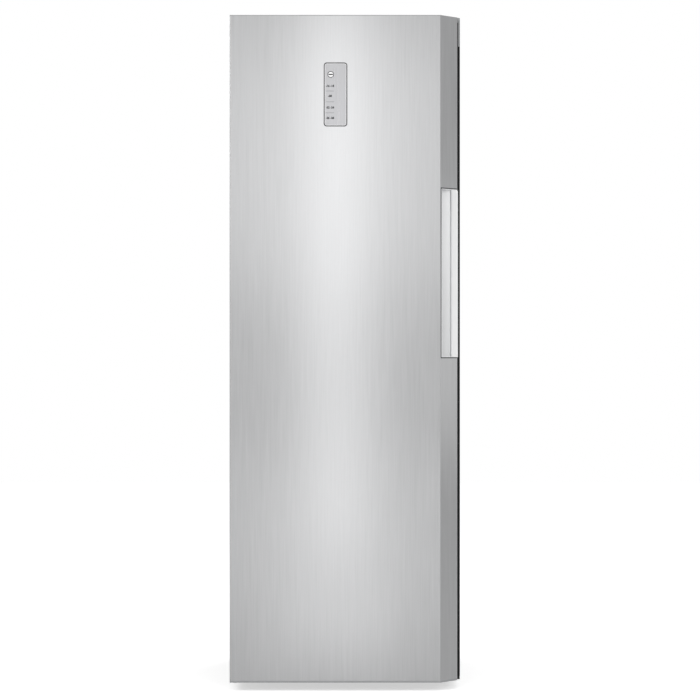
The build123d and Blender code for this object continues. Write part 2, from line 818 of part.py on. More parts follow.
# %% Machinery: condenser tube behind the foam, pipes and filter drier
coil_high = steel_top - condenser_turn
coil_turn = panel_low + condenser_turn
tail_z = machine_roof - drier_offset
drier_top = tail_z - drier_offset / 2
run_x = [(run / (condenser_runs - 1) - 0.5) * 2 * condenser_edge for run in range(condenser_runs)]
condenser_path = [(-condenser_edge, condenser_y, tail_z)]
for run, x in enumerate(run_x):
    ends = (coil_turn, coil_high) if run % 2 == 0 else (coil_high, coil_turn)
    condenser_path += [(x, condenser_y, z) for z in ends]
condenser_path.pop(1)
condenser_path[-1] = (condenser_edge, condenser_y, tail_z)
condenser_path += [(condenser_edge, drier_y, tail_z), (condenser_edge, drier_y, drier_top)]
discharge_path = [
    (pot_x - pot_radius, pot_y, stub_z),
    (-condenser_edge, pot_y, stub_z),
    (-condenser_edge, condenser_y, stub_z),
    (-condenser_edge, condenser_y, tail_z),
]
suction_path = [
    (pot_x + pot_radius, pot_y, stub_z),
    (suction_x, pot_y, stub_z),
    (suction_x, pot_y, machine_roof + pan_sheet),
]
with BuildPart() as condenser:
    with BuildLine():
        Polyline(*condenser_path)
    with BuildSketch(level(tail_z)):
        with Locations((-condenser_edge, condenser_y)):
            Circle(condenser_radius)
    sweep(transition=Transition.RIGHT)
    with BuildSketch(level(drier_top)):
        with Locations((condenser_edge, drier_y)):
            Circle(drier_radius)
    extrude(amount=-drier_length)
condenser.part.label = "condenser"
export_step(condenser.part, "parts/condenser.step")

with BuildPart() as compressor_pipes:
    for points, radius in ((discharge_path, condenser_radius), (suction_path, suction_radius)):
        start = Vector(points[0])
        with BuildLine() as line:
            Polyline(*points)
        with BuildSketch(Plane(start, z_dir=Vector(points[1]) - start)) as section:
            Circle(radius)
        sweep(section.sketch, path=line.line, transition=Transition.RIGHT)
compressor_pipes.part.label = "compressor_pipes"
export_step(compressor_pipes.part, "parts/compressor_pipes.step")

# %% Machinery: slotted rear cover and the empty gland of the mains lead
cover_low = base_height + 4
gland_inset = 52.0
gland_drop = 42.0
gland_x = right - gland_inset
gland_z = machine_roof - gland_drop
gland_size = 18.0
gland_bore = 3.6
slot_columns = 12
slot_pitch = 30.0
cover_slot = (9.0, 66.0)
with BuildPart() as machine_cover:
    with BuildSketch(facing(member_rear + pan_sheet)):
        area(left + 3, right - 3, cover_low, machine_roof - 1)
        with Locations((-30, (cover_low + machine_roof) / 2)):
            with GridLocations(slot_pitch, cover_slot[1] + 18, slot_columns, 2):
                Rectangle(*cover_slot, mode=Mode.SUBTRACT)
        with Locations((gland_x, gland_z)):
            Rectangle(gland_size, gland_size, mode=Mode.SUBTRACT)
    extrude(amount=pan_sheet)
machine_cover.part.label = "machine_cover"
export_step(machine_cover.part, "parts/machine_cover.step")

with BuildPart() as mains_gland:
    with BuildSketch(facing(rear - 1)):
        with Locations((gland_x, gland_z)):
            Rectangle(gland_size + 8, gland_size + 8)
    extrude(amount=rear - 1 - member_rear - pan_sheet)
    with BuildSketch(facing(member_rear + pan_sheet)):
        with Locations((gland_x, gland_z)):
            Rectangle(gland_size - 0.4, gland_size - 0.4)
    extrude(amount=pan_sheet + 7)
    with BuildSketch(facing(rear - 1)):
        with Locations((gland_x, gland_z)):
            Circle(gland_bore)
    extrude(amount=rear - 1 - member_rear + 7, mode=Mode.SUBTRACT)
mains_gland.part.label = "mains_gland"
export_step(mains_gland.part, "parts/mains_gland.step")

# %% Door: places of the grip and its pocket
grip_left = bevel_start + grip_lip
mouth_left = grip_left + grip_wall
mouth_right = mouth_left + grip_mouth
pocket_left = grip_left - grip_undercut - grip_wall
pocket_front = front + 2 * sheet + 2 * grip_wall - 0.8
pocket_back = front + grip_depth
rail_left = mouth_right + 2.1
rail_back = pocket_back + 9
cup_front = pocket_front - grip_wall
cup_back = pocket_back + grip_wall
bevel_end = front + bevel_depth
cup_outline = [
    (pocket_left - grip_wall, cup_front),
    (grip_left + 0.1, cup_front),
    (grip_left + 0.1, bevel_y(grip_left + 0.1)),
    (rail_left - 0.1, bevel_y(rail_left - 0.1)),
    (rail_left - 0.1, cup_back - 6),
    (rail_left + 2, cup_back - 4),
    (rail_left + 2, rail_back),
    (door_right - sheet - 0.2, rail_back),
    (door_right - sheet - 0.2, rail_back + grip_wall),
    (rail_left - 2, rail_back + grip_wall),
    (rail_left - 10, cup_back),
    (pocket_left - grip_wall, cup_back),
]
void_outline = [
    (mouth_left, front - 20),
    (mouth_left, pocket_front),
    (pocket_left, pocket_front),
    (pocket_left, pocket_back - 10),
    (pocket_left + 10, pocket_back),
    (mouth_right - 3, pocket_back),
    (mouth_right, pocket_back - 3),
    (mouth_right, front - 20),
]
rail_outline = [
    (rail_left, bevel_y(rail_left)),
    (door_right - 0.1, bevel_end - 0.1),
    (door_right - 1.5 * sheet, bevel_end - 0.1),
    (door_right - 1.5 * sheet, rail_back - 0.1),
    (rail_left + 2.1, rail_back - 0.1),
    (rail_left + 2.1, cup_back - 4.2),
    (rail_left, cup_back - 6.2),
]
foam_pocket = [
    (pocket_left - grip_wall, cup_front),
    (grip_left, cup_front),
    (grip_left, front),
    (right + 1, front),
    (right + 1, rail_back + grip_wall),
    (rail_left - 2, rail_back + grip_wall),
    (rail_left - 10, cup_back),
    (pocket_left - grip_wall, cup_back),
]
notch_right = hinge_x + hinge_eye + 2.5
notch_front = hinge_y - hinge_inset - hinge_eye + 2
notch_floor = steel_top - sheet
boss_size = 2 * (hinge_inset - sheet)
bush_size = 2 * (pin_radius + pin_play + bush_wall)
bush_length = pin_length - 4

# %% Door: stainless skin with bevel, panel window, grip opening and a notch for the hinge
with BuildPart() as door_skin:
    with BuildSketch(level(skin_low)):
        shape(door_outline(0, skin_back))
        shape(door_outline(sheet, skin_back + 5), mode=Mode.SUBTRACT)
    extrude(amount=skin_high - skin_low)
    nose = door_skin.edges().filter_by(Axis.Z).filter_by(
        lambda edge: abs(edge.center().X - left) < 0.01 and edge.center().Y < front + 0.01
    )
    fillet(nose, radius=1.6 * sheet)
    with BuildSketch(facing(front)):
        with Locations((panel_x, panel_middle)):
            RectangleRounded(panel_width + 0.3, panel_length + 0.3, panel_corner)
    extrude(amount=-2 * sheet, mode=Mode.SUBTRACT)
    with BuildSketch(level(grip_low)):
        area(grip_left, right, front - 5, bevel_end)
    extrude(amount=grip_length, mode=Mode.SUBTRACT)
    with BuildSketch(level(notch_floor)):
        area(left - 1, notch_right, notch_front, door_back)
    extrude(amount=height - notch_floor, mode=Mode.SUBTRACT)
door_skin.part.label = "door_skin"
export_step(door_skin.part, "parts/door_skin.step")

# %% Door: moulded end caps with a boss for the hinge bush
plug_inset = sheet + 0.1
with BuildPart() as door_top_cap:
    with BuildSketch(level(skin_high)):
        shape(door_outline(0, skin_back))
    extrude(amount=top_cap_edge)
    with BuildSketch(level(skin_high)):
        shape(door_outline(plug_inset, skin_back))
    extrude(amount=-cap_plug - 2)
    with BuildSketch(level(notch_floor)):
        area(left - 1, notch_right, notch_front, door_back)
    extrude(amount=height - notch_floor, mode=Mode.SUBTRACT)
    with BuildSketch(level(notch_floor)):
        with Locations((hinge_x, hinge_y)):
            Rectangle(boss_size - 0.2, boss_size - 0.2)
    extrude(amount=-bush_length - 5)
    with BuildSketch(level(notch_floor)):
        with Locations((hinge_x, hinge_y)):
            Rectangle(bush_size, bush_size)
    extrude(amount=-bush_length - 5, mode=Mode.SUBTRACT)
door_top_cap.part.label = "door_top_cap"
export_step(door_top_cap.part, "parts/door_top_cap.step")

with BuildPart() as door_bottom_cap:
    with BuildSketch(level(door_lift)):
        shape(door_outline(0, skin_back))
    extrude(amount=low_cap_edge)
    with BuildSketch(level(skin_low)):
        shape(door_outline(plug_inset, skin_back))
    extrude(amount=cap_plug)
    with BuildSketch(level(door_lift)):
        with Locations((hinge_x, hinge_y)):
            Rectangle(boss_size - 0.2, boss_size - 0.2)
    extrude(amount=bush_length + 5)
    with BuildSketch(level(door_lift)):
        with Locations((hinge_x, hinge_y)):
            Rectangle(bush_size, bush_size)
    extrude(amount=bush_length + 5, mode=Mode.SUBTRACT)
door_bottom_cap.part.label = "door_bottom_cap"
export_step(door_bottom_cap.part, "parts/door_bottom_cap.step")

with BuildPart() as hinge_bushes:
    for face_z, way, flange in ((notch_floor, 1, bush_flange - fit_gap), (door_lift, -1, bush_flange)):
        with BuildSketch(level(face_z + way * flange)):
            with Locations((hinge_x, hinge_y)):
                Rectangle(bush_size, bush_size)
                Circle(pin_radius + pin_play, mode=Mode.SUBTRACT)
        extrude(amount=-way * (bush_length + flange))
hinge_bushes.part.label = "hinge_bushes"
export_step(hinge_bushes.part, "parts/hinge_bushes.step")

# %% Door: foam core and plastic liner with its raised dyke
dyke_x_low = left + dyke_left
dyke_x_high = right - dyke_right
dyke_middle = ((dyke_x_low + dyke_x_high) / 2, (space_floor + space_top) / 2)
dyke_width = dyke_x_high - dyke_x_low
dyke_length = space_top - space_floor - 2 * dyke_end
foam_low = skin_low + cap_plug
foam_high = skin_high - cap_plug - 2
with BuildPart() as dyke_core:
    with BuildSketch(Plane.XZ.offset(-skin_back).rotated((180, 0, 0))):
        with Locations((dyke_middle[0], -dyke_middle[1])):
            RectangleRounded(
                dyke_width - 2 * liner_wall, dyke_length - 2 * liner_wall, dyke_corner - liner_wall
            )
    extrude(amount=dyke_height, taper=dyke_draft)
with BuildPart() as door_foam:
    with BuildSketch(level(foam_low)):
        shape(door_outline(sheet, skin_back))
    extrude(amount=foam_high - foam_low)
    add(dyke_core.part)
    with BuildSketch(level(grip_low)):
        shape(foam_pocket)
    extrude(amount=grip_length, mode=Mode.SUBTRACT)
    with BuildSketch(facing(front + sheet)):
        with Locations((panel_x, panel_middle)):
            Rectangle(panel_width, panel_length)
    extrude(amount=-panel_depth + sheet, mode=Mode.SUBTRACT)
    for face_z, reach in ((notch_floor, -bush_length - 5), (door_lift, bush_length + 5)):
        with BuildSketch(level(face_z)):
            with Locations((hinge_x, hinge_y)):
                Rectangle(boss_size, boss_size)
        extrude(amount=reach, mode=Mode.SUBTRACT)
door_foam.part.label = "door_foam"
export_step(door_foam.part, "parts/door_foam.step")

with BuildPart() as door_liner:
    with BuildSketch(facing(door_back)):
        area(left, door_right, door_lift, door_top)
    extrude(amount=liner_wall)
    with BuildSketch(Plane.XZ.offset(-door_back).rotated((180, 0, 0))):
        with Locations((dyke_middle[0], -dyke_middle[1])):
            RectangleRounded(dyke_width, dyke_length, dyke_corner)
    extrude(amount=dyke_height, taper=dyke_draft)
    add(dyke_core.part, mode=Mode.SUBTRACT)
    with BuildSketch(level(notch_floor)):
        area(left - 1, notch_right, skin_back - 1, door_back + 1)
    extrude(amount=height - notch_floor, mode=Mode.SUBTRACT)
door_liner.part.label = "door_liner"
export_step(door_liner.part, "parts/door_liner.step")

# %% Door: magnetic seal, a foot in the liner and a narrower bellows lip
seal_box = (
    left + seal_inset,
    door_right - seal_inset,
    base_height + seal_end_inset,
    steel_top - seal_end_inset,
)


def ring(box, inset, band):
    """Frame of constant band width inside box, drawn in by inset."""
    x_low, x_high, z_low, z_high = box
    area(x_low + inset, x_high - inset, z_low + inset, z_high - inset)
    inner = inset + band
    area(x_low + inner, x_high - inner, z_low + inner, z_high - inner, mode=Mode.SUBTRACT)


with BuildPart() as door_gasket:
    with BuildSketch(facing(door_back)):
        ring(seal_box, 2, seal_width - 4)
    extrude(amount=-seal_gap * 0.35)
    with BuildSketch(facing(door_back + seal_gap * 0.35)):
        ring(seal_box, 4, seal_width - 8)
    extrude(amount=-seal_gap * 0.2)
    with BuildSketch(facing(door_back + seal_gap * 0.55)):
        ring(seal_box, 0, seal_width)
    extrude(amount=-seal_gap * 0.45 + fit_gap)
door_gasket.part.label = "door_gasket"
export_step(door_gasket.part, "parts/door_gasket.step")

# %% Door: grip pocket with its undercut, and the bright rail along its outer edge
with BuildPart() as grip_cup:
    with BuildSketch(level(grip_low + 0.2)):
        shape(cup_outline)
    extrude(amount=grip_length - 0.4)
    with BuildSketch(level(grip_low + grip_end)):
        shape(void_outline)
    extrude(amount=grip_length - 2 * grip_end, mode=Mode.SUBTRACT)
grip_cup.part.label = "grip_cup"
export_step(grip_cup.part, "parts/grip_cup.step")

with BuildPart() as grip_rail:
    with BuildSketch(level(grip_low + 0.2)):
        shape(rail_outline)
    extrude(amount=grip_length - 0.4)
grip_rail.part.label = "grip_rail"
export_step(grip_rail.part, "parts/grip_rail.step")

# %% Door: control panel housing, its face plate and the board behind
with BuildPart() as panel_housing:
    with BuildSketch(facing(front)):
        with Locations((panel_x, panel_middle)):
            RectangleRounded(panel_width, panel_length, panel_corner)
    extrude(amount=-panel_depth)
    with BuildSketch(facing(front)):
        with Locations((panel_x, panel_middle)):
            RectangleRounded(
                panel_width - 2 * panel_rim, panel_length - 2 * panel_rim, panel_corner - panel_rim
            )
    extrude(amount=-plate_recess - plate_thickness, mode=Mode.SUBTRACT)
    with BuildSketch(facing(front)):
        with Locations((panel_x, panel_middle)):
            Rectangle(panel_width - 5 * panel_rim, panel_length - 5 * panel_rim)
    extrude(amount=-panel_depth + liner_wall, mode=Mode.SUBTRACT)
panel_housing.part.label = "panel_housing"
export_step(panel_housing.part, "parts/panel_housing.step")

plate_inset = 2 * panel_rim + 0.3
with BuildPart() as panel_plate:
    with BuildSketch(facing(front + plate_recess)):
        with Locations((panel_x, panel_middle)):
            RectangleRounded(panel_width - plate_inset, panel_length - plate_inset, panel_corner - panel_rim)
    extrude(amount=-plate_thickness)
panel_plate.part.label = "panel_plate"
export_step(panel_plate.part, "parts/panel_plate.step")

with BuildPart() as control_board:
    with BuildSketch(facing(front + panel_depth - liner_wall)):
        with Locations((panel_x, panel_middle)):
            Rectangle(panel_width - 6 * panel_rim, panel_length - 6 * panel_rim)
    extrude(amount=board_thickness)
    with BuildSketch(facing(front + panel_depth - liner_wall - board_thickness)):
        with Locations((panel_x, panel_middle)):
            with GridLocations(0, 30, 1, 4):
                Rectangle(16, 10)
    extrude(amount=5)
control_board.part.label = "control_board"
export_step(control_board.part, "parts/control_board.step")

# %% Drawers: a drafted tub with side ribs and a framed front with a grip slot
drawer_count = compartments - flap_count
front_half = space_half - front_play
tub_half = space_half - tub_play
for index in range(drawer_count):
    number = drawer_count - index
    floor_z = shelf_level(index) + glide_gap
    ceiling_z = shelf_level(index + 1)
    tub_front = fronts_y + front_thickness
    tub_back = step_front - 8 if index == 0 else shelf_rear - 10
    tub_height = ceiling_z - floor_z - tub_drop
    lean = tub_height * tan(radians(tub_draft))
    tub_length = tub_back - tub_front
    middle = (0, (tub_front + tub_back) / 2)
    rim_band = tub_rim + tub_wall
    with BuildPart() as tub:
        for inset, floor, mode in ((0, 0, Mode.ADD), (tub_wall, tub_wall, Mode.SUBTRACT)):
            for height_share in (0, 1):
                shrink = 2 * (tub_rim + lean * (1 - height_share) + inset)
                with BuildSketch(level(floor_z + floor + height_share * (tub_height - floor))) as tub_plan:
                    with Locations(middle):
                        Rectangle(2 * tub_half - shrink, tub_length - shrink)
                    chamfer(tub_plan.vertices(), tub_corner)
            loft(ruled=True, mode=mode)
        for band, mode in ((0, Mode.ADD), (2 * rim_band, Mode.SUBTRACT)):
            with BuildSketch(level(floor_z + tub_height)) as rim_plan:
                with Locations(middle):
                    Rectangle(2 * tub_half - band, tub_length - band)
                chamfer(rim_plan.vertices(), tub_corner)
            extrude(amount=-tub_wall, mode=mode)
        with BuildSketch(level(floor_z)):
            with Locations(middle):
                with GridLocations(tub_half / 3, 0, 4, 1):
                    Rectangle(tub_groove, tub_length - 4 * tub_corner)
        extrude(amount=tub_wall / 2, mode=Mode.SUBTRACT)
    tub.part.label = f"drawer_tub_{number}"
    export_step(tub.part, f"parts/drawer_tub_{number}.step")

    front_low = shelf_level(index) + (2 if index else liner_corner / 4)
    front_high = ceiling_z - 3
    front_middle = (front_low + front_high) / 2
    window_high = front_high - front_band
    with BuildPart() as drawer_front:
        with BuildSketch(facing(fronts_y)) as front_plan:
            with Locations((0, front_middle)):
                Rectangle(2 * front_half, front_high - front_low)
            chamfer(front_plan.vertices(), front_corner)
        extrude(amount=-front_thickness)
        with BuildSketch(facing(fronts_y)):
            with Locations((0, (front_low + front_rim + window_high) / 2)):
                Rectangle(2 * (front_half - front_rim), window_high - front_low - front_rim)
        extrude(amount=front_field - front_thickness, mode=Mode.SUBTRACT)
        with BuildSketch(facing(fronts_y)) as slot_plan:
            with Locations((0, front_high - front_band / 2 + 2)):
                Rectangle(slot_width, slot_height)
            chamfer(slot_plan.vertices(), front_corner)
        extrude(amount=-front_thickness, mode=Mode.SUBTRACT)
    drawer_front.part.label = f"drawer_front_{number}"
    export_step(drawer_front.part, f"parts/drawer_front_{number}.step")

# %% Flaps: a clear sheet hanging from two pins, with a turned-out lip
for number, pivot_z in zip((2, 1), flap_tops):
    flap_low = shelf_level(compartments - number) + 3
    sheet_front = fronts_y
    with BuildPart() as flap:
        with BuildSketch(beside(flap_play - space_half)):
            area(sheet_front, sheet_front + flap_sheet, flap_low, pivot_z)
            shape(
                [
                    (sheet_front, flap_low + 22),
                    (sheet_front - flap_lip, flap_low + 6),
                    (sheet_front - flap_lip, flap_low),
                    (sheet_front - flap_lip + 2.5, flap_low),
                    (sheet_front - flap_lip + 3, flap_low + 5),
                    (sheet_front + flap_sheet, flap_low + 16),
                ]
            )
            area(sheet_front, pivot_y + 4, pivot_z - 4, pivot_z + 4)
        extrude(amount=2 * (space_half - flap_play))
        with BuildSketch(beside(flap_play - space_half - flap_pin_length)):
            with Locations((pivot_y, pivot_z)):
                Circle(flap_pin_radius)
        extrude(amount=2 * (space_half - flap_play + flap_pin_length))
    flap.part.label = f"flap_{number}"
    export_step(flap.part, f"parts/flap_{number}.step")

# %% Feet, rollers and screws
for name, side in (("left", -1), ("right", 1)):
    with BuildPart() as foot:
        with BuildSketch(level(0)):
            with Locations((side * foot_x, foot_y)):
                RegularPolygon(foot_radius, 6)
        extrude(amount=foot_pad)
        with BuildSketch(level(foot_pad)):
            with Locations((side * foot_x, foot_y)):
                Circle(foot_stem)
        extrude(amount=base_height + 18 - foot_pad)
    foot.part.label = f"foot_{name}"
    export_step(foot.part, f"parts/foot_{name}.step")

axle_half = foot_x + roller_width / 2 + 6
with BuildPart() as rear_axle:
    with BuildSketch(beside(-axle_half)):
        with Locations((roller_y, roller_radius)):
            Circle(axle_radius)
    extrude(amount=2 * axle_half)
rear_axle.part.label = "rear_axle"
export_step(rear_axle.part, "parts/rear_axle.step")

with BuildPart() as rear_rollers:
    for side in (-1, 1):
        with BuildSketch(beside(side * foot_x - roller_width / 2)):
            with Locations((roller_y, roller_radius)):
                Circle(roller_radius)
                Circle(axle_radius, mode=Mode.SUBTRACT)
        extrude(amount=roller_width)
rear_rollers.part.label = "rear_rollers"
export_step(rear_rollers.part, "parts/rear_rollers.step")

# %% Screws: one pattern for both hinge plates, hexagon heads
screw_seats = [Plane((x, y, steel_top + hinge_sheet)) for x, y in hinge_screws]
screw_seats += [Plane((x, y, base_height - low_sheet), z_dir=(0, 0, -1)) for x, y in hinge_screws]
with BuildPart() as cabinet_screws:
    for seat in screw_seats:
        with BuildSketch(seat):
            RegularPolygon(screw_head, 6)
        extrude(amount=screw_head_height)
cabinet_screws.part.label = "cabinet_screws"
export_step(cabinet_screws.part, "parts/cabinet_screws.step")
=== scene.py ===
# %% [markdown]
# # Upright freezer in brushed steel
# The body of the freezer arrives as a fixed CAD frame in metres: +Z is up, the door faces -Y, the
# hinge is on the left and the finger grip on the right. This notebook dresses it: a finish for every
# piece, the few forms that are finer than the CAD needs, a studio and a camera. Nothing is moved.

import json
import math

import bmesh
import bpy
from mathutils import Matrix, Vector


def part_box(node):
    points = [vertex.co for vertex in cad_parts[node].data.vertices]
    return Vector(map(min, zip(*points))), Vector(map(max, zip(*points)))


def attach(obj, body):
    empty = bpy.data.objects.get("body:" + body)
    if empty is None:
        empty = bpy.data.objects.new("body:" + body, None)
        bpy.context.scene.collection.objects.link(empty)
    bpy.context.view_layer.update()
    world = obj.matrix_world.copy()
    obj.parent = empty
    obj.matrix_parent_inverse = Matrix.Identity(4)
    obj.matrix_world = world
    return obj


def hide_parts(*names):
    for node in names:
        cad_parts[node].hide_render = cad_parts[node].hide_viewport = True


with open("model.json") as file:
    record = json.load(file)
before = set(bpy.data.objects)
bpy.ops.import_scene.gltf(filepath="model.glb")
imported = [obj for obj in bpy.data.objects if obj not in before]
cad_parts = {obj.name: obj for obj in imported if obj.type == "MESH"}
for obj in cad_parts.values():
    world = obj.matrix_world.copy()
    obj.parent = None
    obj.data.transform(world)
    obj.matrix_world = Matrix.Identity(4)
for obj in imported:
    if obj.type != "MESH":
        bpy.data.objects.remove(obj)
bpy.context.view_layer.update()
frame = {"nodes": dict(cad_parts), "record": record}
nodes = frame["nodes"]
bpy.context.scene.view_settings.view_transform = "Standard"

# %% [markdown]
# ## Camera
# The object was photographed from about six metres, straight on and at half its height, with a long
# lens. The picture is square, so one focal length serves both ways. The scale of the picture is taken
# from the door, which is 1730 mm tall and fills 668 of 700 pixels.

# %% Camera
PICTURE_PIXELS = 700
SENSOR_MM = 36.0
FOCAL_PIXELS = 2316.0
CAMERA_PLACE = Vector((0.012, -6.325, 0.884))

camera_data = bpy.data.cameras.new("camera")
camera_data.sensor_width = SENSOR_MM
camera_data.lens = FOCAL_PIXELS * SENSOR_MM / PICTURE_PIXELS
camera = bpy.data.objects.new("camera", camera_data)
camera.location = CAMERA_PLACE
camera.rotation_euler = (math.radians(90), 0, 0)
bpy.context.scene.collection.objects.link(camera)
bpy.context.scene.camera = camera
print("lens", round(camera_data.lens, 1), "mm")

# %% [markdown]
# ## A shader language
# A material is a sum of masks and noises. Writing that sum as Python keeps it readable: `Wire` wraps
# an output socket, and each operator adds the Math node that does the sum. Colours must not pass
# through a Math node, which would turn them grey, so they have `mix` and the vector methods instead.

# %% Wire and Sheet
class Wire:
    """A shader socket that can be used in a sum."""

    def __init__(self, sheet, socket):
        self.sheet = sheet
        self.socket = socket

    def math(self, operation, *values):
        sockets = dict(enumerate((self, *values)))
        return self.sheet.node("ShaderNodeMath", {"operation": operation}, sockets)

    def __add__(self, other):
        return self.math("ADD", other)

    __radd__ = __add__

    def __mul__(self, other):
        return self.math("MULTIPLY", other)

    __rmul__ = __mul__

    def __sub__(self, other):
        return self.math("SUBTRACT", other)

    def __rsub__(self, other):
        return self.sheet.number(other) - self

    def between(self, low, high):
        """0 below low, 1 above high and a smooth step from one to the other."""
        return self.sheet.node(
            "ShaderNodeMapRange",
            {"interpolation_type": "SMOOTHSTEP"},
            {"Value": self, "From Min": low, "From Max": high},
        )


class Sheet:
    """A node tree: its shader is `shader`, and every other node comes from `node`."""

    def __init__(self, owner, shader="Principled BSDF", **values):
        owner.use_nodes = True
        self.owner = owner
        self.tree = owner.node_tree
        self.shader = self.tree.nodes[shader]
        self.set(**values)

    def node(self, kind, settings=None, values=None, output=0):
        made = self.tree.nodes.new(kind)
        for key, value in (settings or {}).items():
            setattr(made, key, value)
        for key, value in (values or {}).items():
            self.put(made.inputs[key], value)
        return Wire(self, made.outputs[output])

    def put(self, socket, value):
        if isinstance(value, Wire):
            self.tree.links.new(value.socket, socket)
        elif isinstance(value, tuple) and len(value) == 3 and socket.type == "RGBA":
            socket.default_value = (*value, 1.0)
        else:
            socket.default_value = value

    def set(self, **values):
        """Set sockets of the shader by name, with _ for a space."""
        for key, value in values.items():
            self.put(self.shader.inputs[key.replace("_", " ").title().replace("Ior", "IOR")], value)

    def number(self, value):
        return self.node("ShaderNodeMath", {"operation": "ADD"}, {0: value, 1: 0.0})

    def mix(self, amount, low, high):
        """Colour from low to high by a mask."""
        return self.node(
            "ShaderNodeMix", {"data_type": "RGBA"}, {0: amount, 6: low, 7: high}, output=2
        )

    def place(self, size_x, size_y, size_z):
        """Object coordinates in units of the given sizes in metres."""
        coords = self.node("ShaderNodeTexCoord", output=3)
        rate = (1 / size_x, 1 / size_y, 1 / size_z)
        return self.node("ShaderNodeVectorMath", {"operation": "MULTIPLY"}, {0: coords, 1: rate})

    def noise(self, size, stretch=(1, 1, 1), detail=2.0):
        """Soft noise whose lumps are about size metres, stretched along the axes."""
        where = self.place(*(size * share for share in stretch))
        return self.node("ShaderNodeTexNoise", None, {"Vector": where, "Scale": 1.0, "Detail": detail})

    def bump(self, height, depth):
        """Relief of the given depth in metres where height goes from 0 to 1."""
        self.set(normal=self.node("ShaderNodeBump", None, {"Height": height, "Distance": depth}))


def finish(name, **values):
    return Sheet(bpy.data.materials.new(name), **values)


def tinted(colour, factor):
    """The colour, made lighter or darker."""
    return tuple(min(channel * factor, 1.0) for channel in colour)


print("wire and sheet are ready")

# %% [markdown]
# ## Brushed stainless skin
# The sheet is ground along its height, so each scratch is a millimetre or two wide and a decimetre
# long. A picture of brushed metal would repeat on a door this tall, and noise does not. Three noises,
# stretched along Z, give scratches, streaks and the broad uneven shine. They feed the colour a little,
# the roughness more, and a relief of ten microns. The shader's anisotropy draws each highlight out
# along the door, as the steel in the photograph does.

# %% Brushed steel
SCRATCH_SIZE = 0.0022
SCRATCH_STRETCH = (1, 1, 55)
SCRATCH_DEPTH = 0.00001
STREAK_SIZE = 0.0075
STREAK_STRETCH = (1, 1, 24)
SHINE_SIZE = 0.22
SHINE_STRETCH = (1, 1, 2.2)
ALONG_THE_DOOR = 0.25


def streaked(name, colour, roughness, contrast=0.16):
    sheet = finish(name, metallic=1.0, anisotropic=0.35, anisotropic_rotation=ALONG_THE_DOOR)
    scratches = sheet.noise(SCRATCH_SIZE, SCRATCH_STRETCH)
    streaks = sheet.noise(STREAK_SIZE, STREAK_STRETCH)
    clouds = sheet.noise(SHINE_SIZE, SHINE_STRETCH, detail=1.0)
    tone = scratches * 0.5 + streaks * 0.3 + clouds * 0.2
    dark, light = tinted(colour, 1 - contrast), tinted(colour, 1 + contrast)
    sheet.set(base_color=sheet.mix(tone, dark, light))
    # A noise is about a half on average, so half of the two spans comes off again.
    sheet.set(roughness=scratches * 0.12 + streaks * 0.06 + (roughness - 0.09))
    sheet.bump(scratches, SCRATCH_DEPTH)
    return sheet


finishes = {}
finishes["brushed_skin"] = streaked("brushed_skin", (0.455, 0.457, 0.462), 0.33)
finishes["panel_steel"] = streaked("panel_steel", (0.31, 0.31, 0.318), 0.3, contrast=0.08)
print("brushed finishes", list(finishes))

# %% [markdown]
# ## Moulded plastics, paint and rubber
# These differ in three ways only: colour, gloss, and the size of their grain. One function makes them
# all. The grain of moulded plastic is a fine leather of half a millimetre, powder paint has a softer
# orange peel of about a millimetre and a half, and rubber is matte and fine. The cabinet's paint is a
# matte one. It is also made near-black and given a weaker sheen than the rest, so that its front edge
# beside the door is as dark as the shade in the door's gap: that darkness is painted shade.

# %% Grained finishes
MOTTLE_SIZE = 0.12
MOTTLE_DARK = 0.94
MOTTLE_LIGHT = 1.05
MATTE_AND_SHADE_SHEEN = 0.2


def grained(name, colour, roughness, grain, depth):
    sheet = finish(name)
    lumps = sheet.noise(grain)
    clouds = sheet.noise(MOTTLE_SIZE, detail=3.0)
    dark, light = tinted(colour, MOTTLE_DARK), tinted(colour, MOTTLE_LIGHT)
    sheet.set(base_color=sheet.mix(clouds * 0.7 + lumps * 0.3, dark, light))
    sheet.set(roughness=lumps * 0.08 + clouds * 0.06 + (roughness - 0.07))
    sheet.bump(lumps, depth)
    return sheet


# slot: colour, roughness, size of the grain, depth of the grain
PLAIN_FINISHES = {
    # dark_paint: a dark paint made near-black, so its front edge is painted shade of the door's gap
    "dark_paint": ((0.009, 0.009, 0.01), 0.6, 0.0015, 0.00004),
    "grey_plastic": ((0.32, 0.325, 0.33), 0.5, 0.0005, 0.00003),
    "white_liner": ((0.8, 0.82, 0.83), 0.3, 0.002, 0.00002),
    "lamp_lens": ((0.85, 0.87, 0.9), 0.25, 0.003, 0.0001),
    "black_plastic": ((0.012, 0.012, 0.013), 0.5, 0.0006, 0.00004),
    "white_plastic": ((0.72, 0.74, 0.74), 0.4, 0.0008, 0.00003),
    "rubber": ((0.014, 0.014, 0.014), 0.75, 0.0004, 0.00004),
    "black_enamel": ((0.01, 0.01, 0.011), 0.22, 0.004, 0.00003),
    "seal_grey": ((0.09, 0.09, 0.095), 0.6, 0.0005, 0.00002),
    # dark_frame: on the panel's frame and the grip's seam its dark is partly painted shade; on the rules
    # it is print
    "dark_frame": ((0.045, 0.046, 0.05), 0.5, 0.0004, 0.00001),
    "board_green": ((0.01, 0.09, 0.03), 0.4, 0.001, 0.00002),
    "foam": ((0.62, 0.5, 0.26), 0.9, 0.0015, 0.0002),
}
for slot, (colour, roughness, grain, depth) in PLAIN_FINISHES.items():
    finishes[slot] = grained(slot, colour, roughness, grain, depth)
# The weak sheen keeps the cabinet's front edge as dark as the door gap's shade: painted shade.
finishes["dark_paint"].set(specular_ior_level=MATTE_AND_SHADE_SHEEN)
print(len(finishes), "finishes so far")

# %% [markdown]
# ## Bare metals
# Galvanised sheet shows its spangle, crystals about a centimetre across that each shine a little
# differently: a Voronoi pattern gives every crystal its own tone. Zinc plate, aluminium and copper
# have finer crystals and less contrast between them.

# %% Bare metals
PIT_SIZE = 0.0008
PIT_DEPTH = 0.00001


